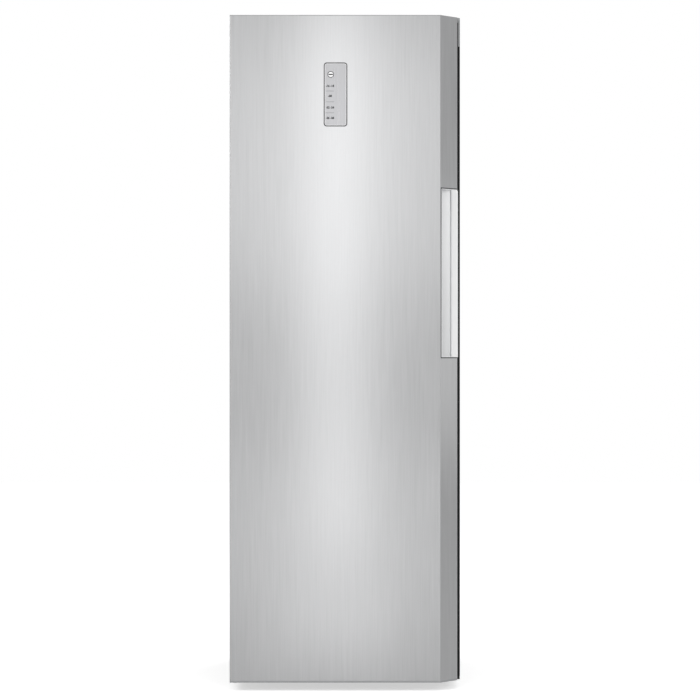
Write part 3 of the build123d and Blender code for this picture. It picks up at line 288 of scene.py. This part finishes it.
def spangled(name, colour, roughness, crystal, contrast):
    sheet = finish(name, metallic=1.0)
    where = sheet.place(crystal, crystal, crystal)
    crystals = sheet.node("ShaderNodeTexVoronoi", None, {"Vector": where, "Scale": 1.0}, output="Color")
    tone = sheet.node("ShaderNodeSeparateColor", None, {"Color": crystals})
    sheet.set(base_color=sheet.mix(tone, tinted(colour, 1 - contrast), colour))
    sheet.set(roughness=tone * 0.12 + (roughness - 0.06))
    sheet.bump(sheet.noise(PIT_SIZE), PIT_DEPTH)
    return sheet


# slot: colour, roughness, size of a crystal, contrast
METALS = {
    "galvanised": ((0.55, 0.57, 0.58), 0.42, 0.009, 0.22),
    "zinc_plate": ((0.5, 0.5, 0.48), 0.36, 0.002, 0.1),
    "fin_aluminium": ((0.68, 0.69, 0.7), 0.34, 0.003, 0.08),
    "copper": ((0.62, 0.3, 0.17), 0.32, 0.004, 0.15),
}
for slot, values in METALS.items():
    finishes[slot] = spangled(slot, *values)
print(len(finishes), "finishes so far")

# %% [markdown]
# ## Silver paint of the grip
# The grip's pocket and its rail are moulded plastic with a silver lacquer: fine metal flakes in a clear
# binder. Half metal and half paint gives that look, and it stays bright inside the pocket, where a
# plain grey would go dark. The rail and the trim of the panel have more paint and less metal.

# %% Silver paint
FLAKE_SIZE = 0.0006
FLAKE_DEPTH = 0.000008
FLAKE_DARK = 0.95
SAG_SIZE = 0.05
SAG_STRETCH = (1, 1, 4)


def lacquered(name, colour, metallic, roughness):
    sheet = finish(name, metallic=metallic)
    flakes = sheet.noise(FLAKE_SIZE, detail=1.0)
    clouds = sheet.noise(SAG_SIZE, SAG_STRETCH)
    dark = tinted(colour, FLAKE_DARK)
    sheet.set(base_color=sheet.mix(flakes * 0.5 + clouds * 0.5, dark, colour))
    sheet.set(roughness=flakes * 0.1 + (roughness - 0.05))
    sheet.bump(flakes, FLAKE_DEPTH)
    return sheet


finishes["silver_plastic"] = lacquered("silver_plastic", (0.84, 0.845, 0.85), 0.5, 0.3)
# On the panel's bead this light colour is a painted highlight; on the rail and the ring's field it is
# their own colour.
finishes["bright_trim"] = lacquered("bright_trim", (0.86, 0.86, 0.86), 0.1, 0.3)
print(len(finishes), "finishes so far")

# %% [markdown]
# ## Clear pieces
# The shelves are green-edged safety glass and the drawers and flaps clear or frosted polystyrene.
# Each lets light through the shader, and is also partly see-through as a whole, so that the inside stays
# light; the frosted tubs scatter what passes.

# %% Glass and clear plastic
# slot: colour, roughness, transmission, cover
CLEAR_FINISHES = {
    "shelf_glass": ((0.86, 0.95, 0.92), 0.02, 0.9, 0.4),
    "clear_plastic": ((0.9, 0.94, 0.97), 0.08, 0.85, 0.38),
    "frosted_plastic": ((0.88, 0.91, 0.93), 0.4, 0.35, 0.6),
}
CLEAR_IOR = 1.5
RIPPLE_SIZE = 0.03
RIPPLE_DEPTH = 0.0001
RIPPLE_DARK = 0.97
for slot, (colour, roughness, transmission, cover) in CLEAR_FINISHES.items():
    sheet = finish(slot, transmission_weight=transmission, ior=CLEAR_IOR, alpha=cover)
    ripple = sheet.noise(RIPPLE_SIZE)
    sheet.set(base_color=sheet.mix(ripple, tinted(colour, RIPPLE_DARK), colour))
    sheet.set(roughness=ripple * 0.06 + roughness)
    sheet.bump(ripple, RIPPLE_DEPTH)
    finishes[slot] = sheet
print(len(finishes), "finishes in all")

# %% [markdown]
# ## Dressing the pieces
# Every CAD piece names the slot that it wears. Going through the frame's own list puts each finish on by
# that name, so a piece can't be missed and none has to be named twice.

# %% Dress the CAD pieces
for part in frame["record"]["subparts"]:
    cad_piece = nodes[part["node"]]
    cad_piece.data.materials.clear()
    cad_piece.data.materials.append(finishes[part["material_slot"]].owner)
print("dressed", len(nodes), "pieces")

# %% [markdown]
# ## Three ways to make a form
# The pieces that the CAD keeps plain are of three kinds. A seal or a bead is a profile carried round a
# rounded rectangle; a roller or a screw is a profile turned about an axis; a trim or a printed rule is a
# thin block. Modifiers could make them too, but a list of corners and faces is exactly as large as its
# numbers, and that matters beside a CAD frame.

# %% A piece from corners and faces
WELD_DISTANCE = 1e-7


def piece(name, corners, faces, slot, body, smooth=True):
    mesh = bpy.data.meshes.new(name)
    mesh.from_pydata(corners, [], faces)
    shell = bmesh.new()
    shell.from_mesh(mesh)
    bmesh.ops.remove_doubles(shell, verts=shell.verts, dist=WELD_DISTANCE)
    bmesh.ops.recalc_face_normals(shell, faces=shell.faces)
    shell.to_mesh(mesh)
    shell.free()
    for polygon in mesh.polygons:
        polygon.use_smooth = smooth
    mesh.materials.append(finishes[slot].owner)
    made = bpy.data.objects.new(name, mesh)
    bpy.context.scene.collection.objects.link(made)
    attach(made, body)
    return made


def join_rings(rings, closed):
    """Corners and quads of a skin over rings that all have the same number of corners."""
    count = len(rings[0])
    corners = [corner for ring in rings for corner in ring]
    faces = []
    for first in range(len(rings) if closed else len(rings) - 1):
        second = (first + 1) % len(rings)
        low, high = first * count, second * count
        for step in range(count):
            after = (step + 1) % count
            faces.append((low + step, low + after, high + after, high + step))
    return corners, faces


print("corners and faces are ready")


# %% A profile round a rounded rectangle
SMALLEST_RADIUS = 1e-5


def rounded(sides, radius, inset, steps):
    """Points of a rounded rectangle, drawn in by inset. With no steps its corners are sharp."""
    low_x, high_x, low_z, high_z = sides
    turn = max(radius - inset, SMALLEST_RADIUS) if steps else 0.0
    points = []
    for quarter, (x, z, way_x, way_z) in enumerate(
        ((high_x, high_z, 1, 1), (low_x, high_z, -1, 1), (low_x, low_z, -1, -1), (high_x, low_z, 1, -1))
    ):
        centre_x = x - way_x * (inset + turn)
        centre_z = z - way_z * (inset + turn)
        for step in range(steps + 1):
            angle = math.radians(90 * (quarter + (step / steps if steps else 0.5)))
            points.append((centre_x + turn * math.cos(angle), centre_z + turn * math.sin(angle)))
    return points


def framed(name, sides, radius, face_y, profile, slot, body, steps=6):
    """A profile of (inset, depth) points in millimetres, carried round the rectangle, from face_y."""
    rings = []
    for inset, depth in profile:
        outline = rounded(sides, radius, inset / 1000, steps)
        rings.append([(x, face_y + depth / 1000, z) for x, z in outline])
    return piece(name, *join_rings(rings, closed=True), slot, body)


print("framed pieces are ready")


# %% A profile turned about an axis
def turned_form(profile, place, axis, turns=32):
    """Corners and faces of (radius, height) points in millimetres, turned about the axis at place."""
    swing = Vector((0, 0, 1)).rotation_difference(Vector(axis)).to_matrix()
    rings = []
    for radius, height in profile:
        ring = []
        for step in range(turns):
            angle = 2 * math.pi * step / turns
            reach = radius / 1000
            local = Vector((reach * math.cos(angle), reach * math.sin(angle), height / 1000))
            ring.append(tuple(Vector(place) + swing @ local))
        rings.append(ring)
    return join_rings(rings, closed=False)


def block(low, high):
    """Corners and faces of an upright block."""
    across, deep, up = zip(low, high)
    corners = [(x, y, z) for x in across for y in deep for z in up]
    faces = [(0, 1, 3, 2), (4, 6, 7, 5), (0, 4, 5, 1), (2, 3, 7, 6), (0, 2, 6, 4), (1, 5, 7, 3)]
    return corners, faces


def gathered(forms):
    """Several forms as one list of corners and one of faces."""
    corners, faces = [], []
    for form_corners, form_faces in forms:
        faces += [tuple(len(corners) + index for index in face) for face in form_faces]
        corners += form_corners
    return corners, faces


print("turned pieces are ready")

# %% [markdown]
# ## Door seal
# The magnetic seal is an extruded vinyl profile, welded into a frame at its four corners: a barbed
# foot that snaps into the liner, a folded bellows, and a wide flat lip that holds the magnet. The CAD
# has its steps only, so the extruded profile is carried round the same rectangle, with sharp mitres.

# %% Door seal
SEAL_PROFILE = [
    (5, 0), (11, 0), (11.5, 1), (13.5, 1.6), (14, 2.6), (12.6, 3.4), (11.8, 4.2), (12.4, 5.2),
    (15.2, 5.7), (16, 6.6), (15.8, 9.2), (15.2, 9.7), (8, 9.5), (0.8, 9.7), (0.2, 9.2), (0, 6.6),
    (0.8, 5.7), (3.6, 5.2), (4.2, 4.2), (3.4, 3.4), (2, 2.6), (2.5, 1.6), (4.5, 1),
]


def sides_of(node):
    low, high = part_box(node)
    return low.x, high.x, low.z, high.z


seal_sides = sides_of("door_gasket")
seal_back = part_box("door_gasket")[0].y
door_seal = framed("door_seal", seal_sides, 0, seal_back, SEAL_PROFILE, "seal_grey", "door", steps=0)
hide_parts("door_gasket")
print("door seal", len(door_seal.data.polygons), "faces")

# %% [markdown]
# ## Control panel
# The panel is a printed metal plate in a dark frame; the frame's dark is partly painted shade, of the
# groove round the plate. A bright bead just inside the frame is a painted highlight, where the plate's
# rim catches the light. The plate's left half holds a ring on a white field and short rows of print. The
# rows are plain numbers, with a fine rule between them. A picture could carry the print, but it blurs
# when it is seen from near, so the marks are solids, about a tenth of a millimetre thick.

# %% Panel bead, a painted highlight
HIGHLIGHT_BEAD_PROFILE = [(0.2, 0.1), (0.3, -0.15), (0.6, -0.3), (1.0, -0.3), (1.3, -0.15), (1.4, 0.1)]
PANEL_CORNER = 0.0058

plate_low, plate_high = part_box("panel_plate")
plate_sides = sides_of("panel_plate")
plate_middle = (plate_low + plate_high) / 2
# The bead's light colour is a painted highlight of the plate's rim.
framed("panel_bead_highlight", plate_sides, PANEL_CORNER, plate_low.y, HIGHLIGHT_BEAD_PROFILE, "bright_trim", "door")
print("panel", [round(side, 4) for side in plate_sides])

# %% Panel ring and rules
PRINT_LIFT = 0.00008
PRINT_SHIFT = -0.0145  # from the plate's middle
RING_SHIFT = -0.0125
RING_RISE = 0.052
RING_BAR = (0.0115, 0.003)
RULE_SIZE = (0.021, 0.0007)
RING_PROFILE = [(8.4, 0.05), (8.4, -0.12), (6.7, -0.12), (6.7, 0.05)]
FIELD_PROFILE = [(6.8, 0.04), (6.8, -0.04), (0.001, -0.04)]
RULE_ROWS = (0.009, -0.019, -0.0475)
print_x = plate_middle.x + PRINT_SHIFT
ring_x = plate_middle.x + RING_SHIFT
ring_z = plate_middle.z + RING_RISE


def bar(x, z, length, thickness):
    """A thin block on the panel's plate."""
    half, rise = length / 2, thickness / 2
    low = (x - half, plate_low.y - PRINT_LIFT, z - rise)
    high = (x + half, plate_low.y + PRINT_LIFT, z + rise)
    return block(low, high)


ring_place = (ring_x, plate_low.y, ring_z)
ring = turned_form(RING_PROFILE, ring_place, (0, 1, 0), turns=48)
marks = [ring, bar(ring_x, ring_z, *RING_BAR)]
piece("panel_marks", *gathered(marks), "black_plastic", "door", smooth=False)
ring_field = turned_form(FIELD_PROFILE, ring_place, (0, 1, 0), turns=48)
piece("panel_field", *ring_field, "bright_trim", "door", smooth=False)
rules = [bar(print_x, plate_middle.z + row, *RULE_SIZE) for row in RULE_ROWS]
piece("panel_rules", *gathered(rules), "dark_frame", "door", smooth=False)
print("marks", len(marks), "rules", len(rules))

# %% Panel numbers
NUMBER_ROWS = {"-16 -18": 0.022, " -20 ": -0.004, "-22 -24": -0.034, "-26 -28": -0.061}
NUMBER_SIZE = 0.0073
NUMBER_WEIGHT = 0.00042

for number, (text, row) in enumerate(NUMBER_ROWS.items(), 1):
    curve = bpy.data.curves.new(f"panel_number_{number}", "FONT")
    curve.body = text
    curve.size = NUMBER_SIZE
    curve.extrude = PRINT_LIFT
    curve.offset = NUMBER_WEIGHT
    curve.align_x = "CENTER"
    curve.align_y = "CENTER"
    curve.materials.append(finishes["black_plastic"].owner)
    words = bpy.data.objects.new(f"panel_number_{number}", curve)
    words.location = (print_x, plate_low.y, plate_middle.z + row)
    words.rotation_euler = (math.radians(90), 0, 0)
    bpy.context.scene.collection.objects.link(words)
    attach(words, "door")
print("number rows", len(NUMBER_ROWS))

# %% [markdown]
# ## Seam of the grip, with painted shade
# The grip's pocket is a separate moulding, let into the bevelled edge of the steel. Where the two meet
# there is a fine dark line along the top, the bottom and the left of the mouth: partly the joint, and
# partly the shade inside it and under the pocket's top wall, painted dark. It stands a little proud of
# the bevel, so it is made of three thin bars in that plane. The rail ends in a fine square edge that
# stands out past the door's side.

# %% Grip seam and painted shade
BEVEL_START = 0.246
SEAM_SHADE_LEFT = 0.2471
SEAM_SHADE_RIGHT = 0.2912
SEAM_SHADE_WIDTH = 0.0015
SEAM_SHADE_UPRIGHT = 0.0021  # width of the bar on the left
SEAM_SHADE_LIFT = 0.00012
GRIP_LOW = 0.864
GRIP_HIGH = 1.304
RAIL_REACH = 0.0018
RAIL_LAP = 0.0008
RAIL_DEPTH = 0.003
RAIL_DROP = 0.0045  # under the grip's top

door_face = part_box("door_skin")[0].y


def bevel_bar(low_x, high_x, low_z, high_z):
    """A thin block on the door's bevel, which leans at 45 degrees."""
    corners = []
    for side in (1, -1):
        shift = side * SEAM_SHADE_LIFT / math.sqrt(2)
        for x, z in ((low_x, low_z), (high_x, low_z), (high_x, high_z), (low_x, high_z)):
            corners.append((x + shift, door_face + x - BEVEL_START - shift, z))
    faces = [(0, 1, 2, 3), (7, 6, 5, 4)]
    faces += [(step, step + 4, (step + 1) % 4 + 4, (step + 1) % 4) for step in range(4)]
    return corners, faces


# Three dark bars: the joint round the pocket, with its shade painted in.
seam_shade_bars = [
    bevel_bar(SEAM_SHADE_LEFT, SEAM_SHADE_LEFT + SEAM_SHADE_UPRIGHT, GRIP_LOW, GRIP_HIGH),
    bevel_bar(SEAM_SHADE_LEFT, SEAM_SHADE_RIGHT, GRIP_HIGH - SEAM_SHADE_WIDTH, GRIP_HIGH + SEAM_SHADE_WIDTH),
    bevel_bar(SEAM_SHADE_LEFT, SEAM_SHADE_RIGHT, GRIP_LOW - SEAM_SHADE_WIDTH, GRIP_LOW + SEAM_SHADE_WIDTH),
]
piece("grip_seam_shade", *gathered(seam_shade_bars), "dark_frame", "door", smooth=False)
rail_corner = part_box("grip_rail")[1].x
rail_front = door_face + rail_corner - BEVEL_START - RAIL_LAP / 2
rail_near = (rail_corner - RAIL_LAP, rail_front, GRIP_LOW + SEAM_SHADE_WIDTH)
rail_far = (rail_corner + RAIL_REACH, rail_front + RAIL_DEPTH, GRIP_HIGH - RAIL_DROP)
piece("rail_edge", *block(rail_near, rail_far), "bright_trim", "door", smooth=False)
print("grip seam bars", len(seam_shade_bars), "rail edge at", round(rail_corner, 4))

# %% [markdown]
# ## Drawer fronts
# The clear fronts are injection moulded. A rounded bead strengthens the edge of each grip slot, and
# upright flutes stiffen the window. Both are small, smooth shapes that catch the light, which is most
# of what an eye sees of clear plastic. A bump in the material could hint at them, but only a real shape
# changes what is seen through it.

# %% Slot beads
SLOT_HALF = 0.09
SLOT_LOW = 0.034  # under the front's top
SLOT_HIGH = 0.008
SLOT_CORNER = 0.005
SLOT_PROFILE = [
    (-3.2, 0.2), (-3.0, -0.8), (-1.8, -1.5), (-0.4, -1.6), (0.9, -0.8), (1.1, 0.6), (1.1, 4), (-0.2, 4),
]

fronts = sorted(name for name in nodes if name.startswith("drawer_front"))
for name in fronts:
    low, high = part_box(name)
    number = name.split("_")[-1]
    sides = (-SLOT_HALF, SLOT_HALF, high.z - SLOT_LOW, high.z - SLOT_HIGH)
    looks = (SLOT_PROFILE, "white_plastic", f"drawer_{number}")
    framed(f"slot_bead_{number}", sides, SLOT_CORNER, low.y, *looks)
print("slot beads", len(fronts))

# %% Window flutes
FLUTE_COUNT = 22
FLUTE_TIP = [(0.01, 0), (1.82, 0.6), (2.6, 2.4)]
FLUTE_MARGIN = 0.016
WINDOW_DEPTH = 0.008
WINDOW_RIM = 0.013
FRONT_BAND = 0.046
FLUTE_GAP = 0.004

for name in fronts:
    low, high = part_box(name)
    number = name.split("_")[-1]
    bottom = low.z + WINDOW_RIM + FLUTE_GAP
    length = (high.z - FRONT_BAND - FLUTE_GAP - bottom) * 1000
    reach = high.x - WINDOW_RIM - FLUTE_MARGIN
    profile = FLUTE_TIP + [(radius, length - height) for radius, height in reversed(FLUTE_TIP)]
    flutes = []
    for step in range(FLUTE_COUNT):
        across = (2 * step / (FLUTE_COUNT - 1) - 1) * reach
        flutes.append(turned_form(profile, (across, low.y + WINDOW_DEPTH, bottom), (0, 0, 1), turns=12))
    piece(f"window_flutes_{number}", *gathered(flutes), "clear_plastic", f"drawer_{number}")
print("flutes on each front", FLUTE_COUNT)

# %% [markdown]
# ## Feet, rollers and screws
# The levelling feet are a moulded pad on a steel thread; the thread is a stack of rings whose radius
# follows a helix. The rollers have rounded treads and a sunk hub. The rear cover is held by cross-head
# screws: a dome, sunk where the driver goes.

# %% Feet
PAD_PROFILE = [
    (0.01, 0), (14, 0), (16.4, 1), (17, 2.4), (17, 6.4), (16, 8), (13, 8.8), (7, 9.4), (6.4, 11),
]
THREAD_PITCH = 2.0
THREAD_BOTTOM = 9.0
THREAD_RADIUS = 5.0
THREAD_RINGS = 4  # to each pitch
THREAD_DEPTH = 0.6
THREAD_TURNS = 24


def thread_form(place, bottom, top, radius):
    """A screw thread between two heights in millimetres."""
    count = int((top - bottom) / THREAD_PITCH * THREAD_RINGS)
    rings = []
    for level in range(count + 1):
        height = bottom + (top - bottom) * level / count
        ring = []
        for step in range(THREAD_TURNS):
            phase = (height / THREAD_PITCH - step / THREAD_TURNS) % 1.0
            reach = (radius - THREAD_DEPTH * abs(2 * phase - 1)) / 1000
            angle = 2 * math.pi * step / THREAD_TURNS
            corner = Vector((reach * math.cos(angle), reach * math.sin(angle), height / 1000))
            ring.append(tuple(Vector(place) + corner))
        rings.append(ring)
    return join_rings(rings, closed=False)


for side in ("left", "right"):
    low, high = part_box(f"foot_{side}")
    place = ((low.x + high.x) / 2, (low.y + high.y) / 2, 0.0)
    pad_form = turned_form(PAD_PROFILE, place, (0, 0, 1), turns=48)
    pad = piece(f"foot_pad_{side}", *pad_form, "black_plastic", f"foot_{side}")
    thread = thread_form(place, THREAD_BOTTOM, high.z * 1000, THREAD_RADIUS)
    piece(f"foot_thread_{side}", *thread, "zinc_plate", f"foot_{side}")
    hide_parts(f"foot_{side}")
print("feet", [round(corner, 3) for corner in place])

# %% Rollers
TREAD_PROFILE = [
    (4.05, 2), (6, 2), (6.6, 1.4), (9.5, 1.4), (10.2, 0.3), (12.4, 0), (13.6, 0.8), (14, 2.2),
    (14, 15.8), (13.6, 17.2), (12.4, 18), (10.2, 17.7), (9.5, 16.6), (6.6, 16.6), (6, 16),
    (4.05, 16), (4.05, 2),
]
axle_low, axle_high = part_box("rear_axle")
axle_middle = (axle_low + axle_high) / 2
roller_low, roller_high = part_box("rear_rollers")
treads = [
    turned_form(TREAD_PROFILE, (roller_low.x, axle_middle.y, axle_middle.z), (1, 0, 0), turns=48),
    turned_form(TREAD_PROFILE, (roller_high.x, axle_middle.y, axle_middle.z), (-1, 0, 0), turns=48),
]
treads = piece("roller_treads", *gathered(treads), "black_plastic", "rollers")
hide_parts("rear_rollers")
print("rollers", len(treads.data.polygons), "faces")

# %% Rear cover screws
HEAD_RADIUS = 4.2
HEAD_RISE = 1.5
HEAD_RINGS = 9
HEAD_TURNS = 40
CROSS_REACH = 2.4
CROSS_HALF = 0.55
CROSS_DEPTH = 1.0
SCREW_EDGE = 0.012
SCREW_END = 0.014
SCREW_COLUMNS = 4


def cross_head(x, z, face_y):
    """A domed head with a sunk cross, looking to the rear."""
    rings = []
    for level in range(HEAD_RINGS + 1):
        radius = HEAD_RADIUS * (1 - level / HEAD_RINGS)
        rise = HEAD_RISE * math.sqrt(max(1 - (radius / HEAD_RADIUS) ** 2, 0.0))
        ring = []
        for step in range(HEAD_TURNS):
            angle = 2 * math.pi * step / HEAD_TURNS
            across, up = radius * math.cos(angle), radius * math.sin(angle)
            near, far = sorted((abs(across), abs(up)))
            sunk = near < CROSS_HALF and far < CROSS_REACH
            depth = rise - CROSS_DEPTH if sunk else rise
            ring.append((x + across / 1000, face_y + depth / 1000, z + up / 1000))
        rings.append(ring)
    return join_rings(rings, closed=False)


cover_low, cover_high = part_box("machine_cover")
screw_rows = [cover_low.z + SCREW_EDGE, cover_high.z - SCREW_EDGE]
screw_pitch = (cover_high.x - cover_low.x - 2 * SCREW_END) / (SCREW_COLUMNS - 1)
screw_columns = [cover_low.x + SCREW_END + step * screw_pitch for step in range(SCREW_COLUMNS)]
heads = [cross_head(x, z, cover_high.y) for x in screw_columns for z in screw_rows]
piece("cover_screws", *gathered(heads), "zinc_plate", "cabinet")
print("cover screws", len(heads))

# %% [markdown]
# ## Base trim
# The painted sides stop three centimetres over the floor. A plain black strip closes the gap under each
# of them, so that from the front the dark side, whose near-black edge is partly painted shade of the
# door's gap, reaches down as far as the door does.

# %% Base trim
TRIM_WIDTH = 0.007
TRIM_LOW = 0.021
TRIM_INSET = 0.0004

shell_low, shell_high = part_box("cabinet_shell")
trims = []
for outer in (shell_low.x + TRIM_INSET, shell_high.x - TRIM_INSET - TRIM_WIDTH):
    near = (outer, shell_low.y + TRIM_INSET, TRIM_LOW)
    far = (outer + TRIM_WIDTH, shell_high.y - TRIM_INSET, shell_low.z + TRIM_INSET)
    trims.append(block(near, far))
# The black strips carry the painted shade of the door's gap down to the floor.
piece("base_trim", *gathered(trims), "black_plastic", "cabinet", smooth=False)
print("base trim from", round(shell_low.y, 3), "to", round(shell_high.y, 3))

# %% [markdown]
# ## Compressor seam
# The two halves of the compressor's shell are welded where they overlap. The weld is a low rounded
# ridge, turned about the pot's own axis, so the pot itself is left as it is.

# %% Compressor seam
SEAM_RISE = 0.062  # over the pot's lowest point
POT_RADIUS = 72.0
RIDGE_PROFILE = [(-0.5, -3.0), (0.9, -1.8), (1.4, 0.0), (0.9, 1.8), (-0.5, 3.0)]
pot_low, pot_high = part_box("compressor")
pot_place = ((pot_low.x + pot_high.x) / 2, (pot_low.y + pot_high.y) / 2, pot_low.z + SEAM_RISE)
ridge = [(POT_RADIUS + out, up) for out, up in RIDGE_PROFILE]
piece("pot_seam", *turned_form(ridge, pot_place, (0, 0, 1), turns=96), "black_enamel", "cabinet")
print("seam at", [round(corner, 3) for corner in pot_place])

# %% [markdown]
# ## Studio
# A pale floor, a white world and soft lamps. The background is white because camera rays see the world
# at a strength of 1 and the floor with a glow of its own; the light that falls on the object is plainer.
# Rays that metal and glass send on see the same world, and a little of the floor's glow. Steel shows
# whatever stands opposite, so the world dims towards both sides, like two grey screens: they keep the
# bevel darker than the door's face.

# %% Floor
FLOOR_HALF = 9.0
FLOOR_TONE = 0.72
FLOOR_GLOW = 0.56
STEEL_SHARE = 0.1

floor_mesh = bpy.data.meshes.new("floor")
corners = [(-1, -1), (1, -1), (1, 1), (-1, 1)]
floor_mesh.from_pydata([(x * FLOOR_HALF, y * FLOOR_HALF, 0.0) for x, y in corners], [], [(0, 1, 2, 3)])
floor = bpy.data.objects.new("floor", floor_mesh)
bpy.context.scene.collection.objects.link(floor)
floor_sheet = finish("floor_white", base_color=(FLOOR_TONE,) * 3, roughness=0.9)


def shown(sheet):
    """Two masks of rays: 1 for those from the camera, and 1 for those that metal or glass sends on."""
    kinds = ("Camera", "Glossy", "Transmission")
    seen, shiny, clear = (
        sheet.node("ShaderNodeLightPath", output=f"Is {kind} Ray") for kind in kinds
    )
    return seen, shiny.math("MAXIMUM", clear)


camera_ray, gloss_ray = shown(floor_sheet)
glow = floor_sheet.node(
    "ShaderNodeEmission", None, {"Strength": (camera_ray + gloss_ray * STEEL_SHARE) * FLOOR_GLOW}
)
bare_floor = Wire(floor_sheet, floor_sheet.shader.outputs[0])
lit_floor = floor_sheet.node("ShaderNodeAddShader", None, {0: bare_floor, 1: glow})
floor_sheet.put(floor_sheet.tree.nodes["Material Output"].inputs["Surface"], lit_floor)
floor_mesh.materials.append(floor_sheet.owner)
print("floor", 2 * FLOOR_HALF, "m wide")

# %% World
WORLD_LIGHT = 0.62
SIDE_DIMMING = 0.38
SIDE_START = 0.35
SIDE_END = 0.95

world = bpy.data.worlds.new("studio")
bpy.context.scene.world = world
sky = Sheet(world, "Background", color=(1.0, 1.0, 1.0))
toward = sky.node("ShaderNodeTexCoord")
aside = sky.node("ShaderNodeSeparateXYZ", None, {0: toward}).math("ABSOLUTE")
sideways = aside.between(SIDE_START, SIDE_END)
camera_ray, gloss_ray = shown(sky)
seen_in_steel = 1 - sideways * SIDE_DIMMING
off_camera = gloss_ray * seen_in_steel + (1 - gloss_ray) * WORLD_LIGHT
sky.set(strength=camera_ray + (1 - camera_ray) * off_camera)
print("world light", WORLD_LIGHT)

# %% [markdown]
# ## Lamps
# A narrow upright strip gives the door its bright middle, and three broader ones at the front lift its
# upper, lower and lowest parts. One stands at the right for the bevel. Three large, distant ones light
# the sides and the back. None of them shows to the camera.

# %% Lamps
def soft_lamp(name, place, aim, width, height, watts):
    data = bpy.data.lights.new(name, "AREA")
    data.shape = "RECTANGLE"
    data.size = width
    data.size_y = height
    data.energy = watts
    lamp = bpy.data.objects.new(name, data)
    lamp.location = place
    lamp.rotation_euler = (Vector(aim) - Vector(place)).to_track_quat("-Z", "Y").to_euler()
    lamp.visible_camera = False
    bpy.context.scene.collection.objects.link(lamp)


# name: place, aim, width, height, watts
LAMPS = {
    "strip_lamp": ((-0.03, -1.2, 1.12), (-0.03, 0, 1.12), 0.14, 1.7, 1.07),
    "upper_lamp": ((-0.03, -1.3, 1.44), (-0.03, 0, 1.44), 0.9, 0.75, 0.95),
    "lower_lamp": ((0.09, -1.3, 0.34), (0.09, 0, 0.34), 1.1, 0.44, 0.48),
    "foot_lamp": ((-0.03, -1.3, 0.07), (-0.03, 0, 0.05), 0.36, 0.1, 0.2),
    "side_lamp": ((1.3, -0.32, 0.95), (0.27, -0.3, 0.95), 0.3, 0.7, 0.4),
    "left_lamp": ((-3.0, -2.5, 2.8), (0, 0, 0.9), 1.6, 1.6, 60),
    "right_lamp": ((3.2, -2.0, 2.2), (0, 0, 0.9), 1.2, 1.6, 30),
    "back_lamp": ((1.5, 3.0, 2.6), (0, 0, 0.9), 1.6, 1.6, 24),
}
for name, values in LAMPS.items():
    soft_lamp(name, *values)
print("lamps", [lamp.name for lamp in bpy.data.lights])
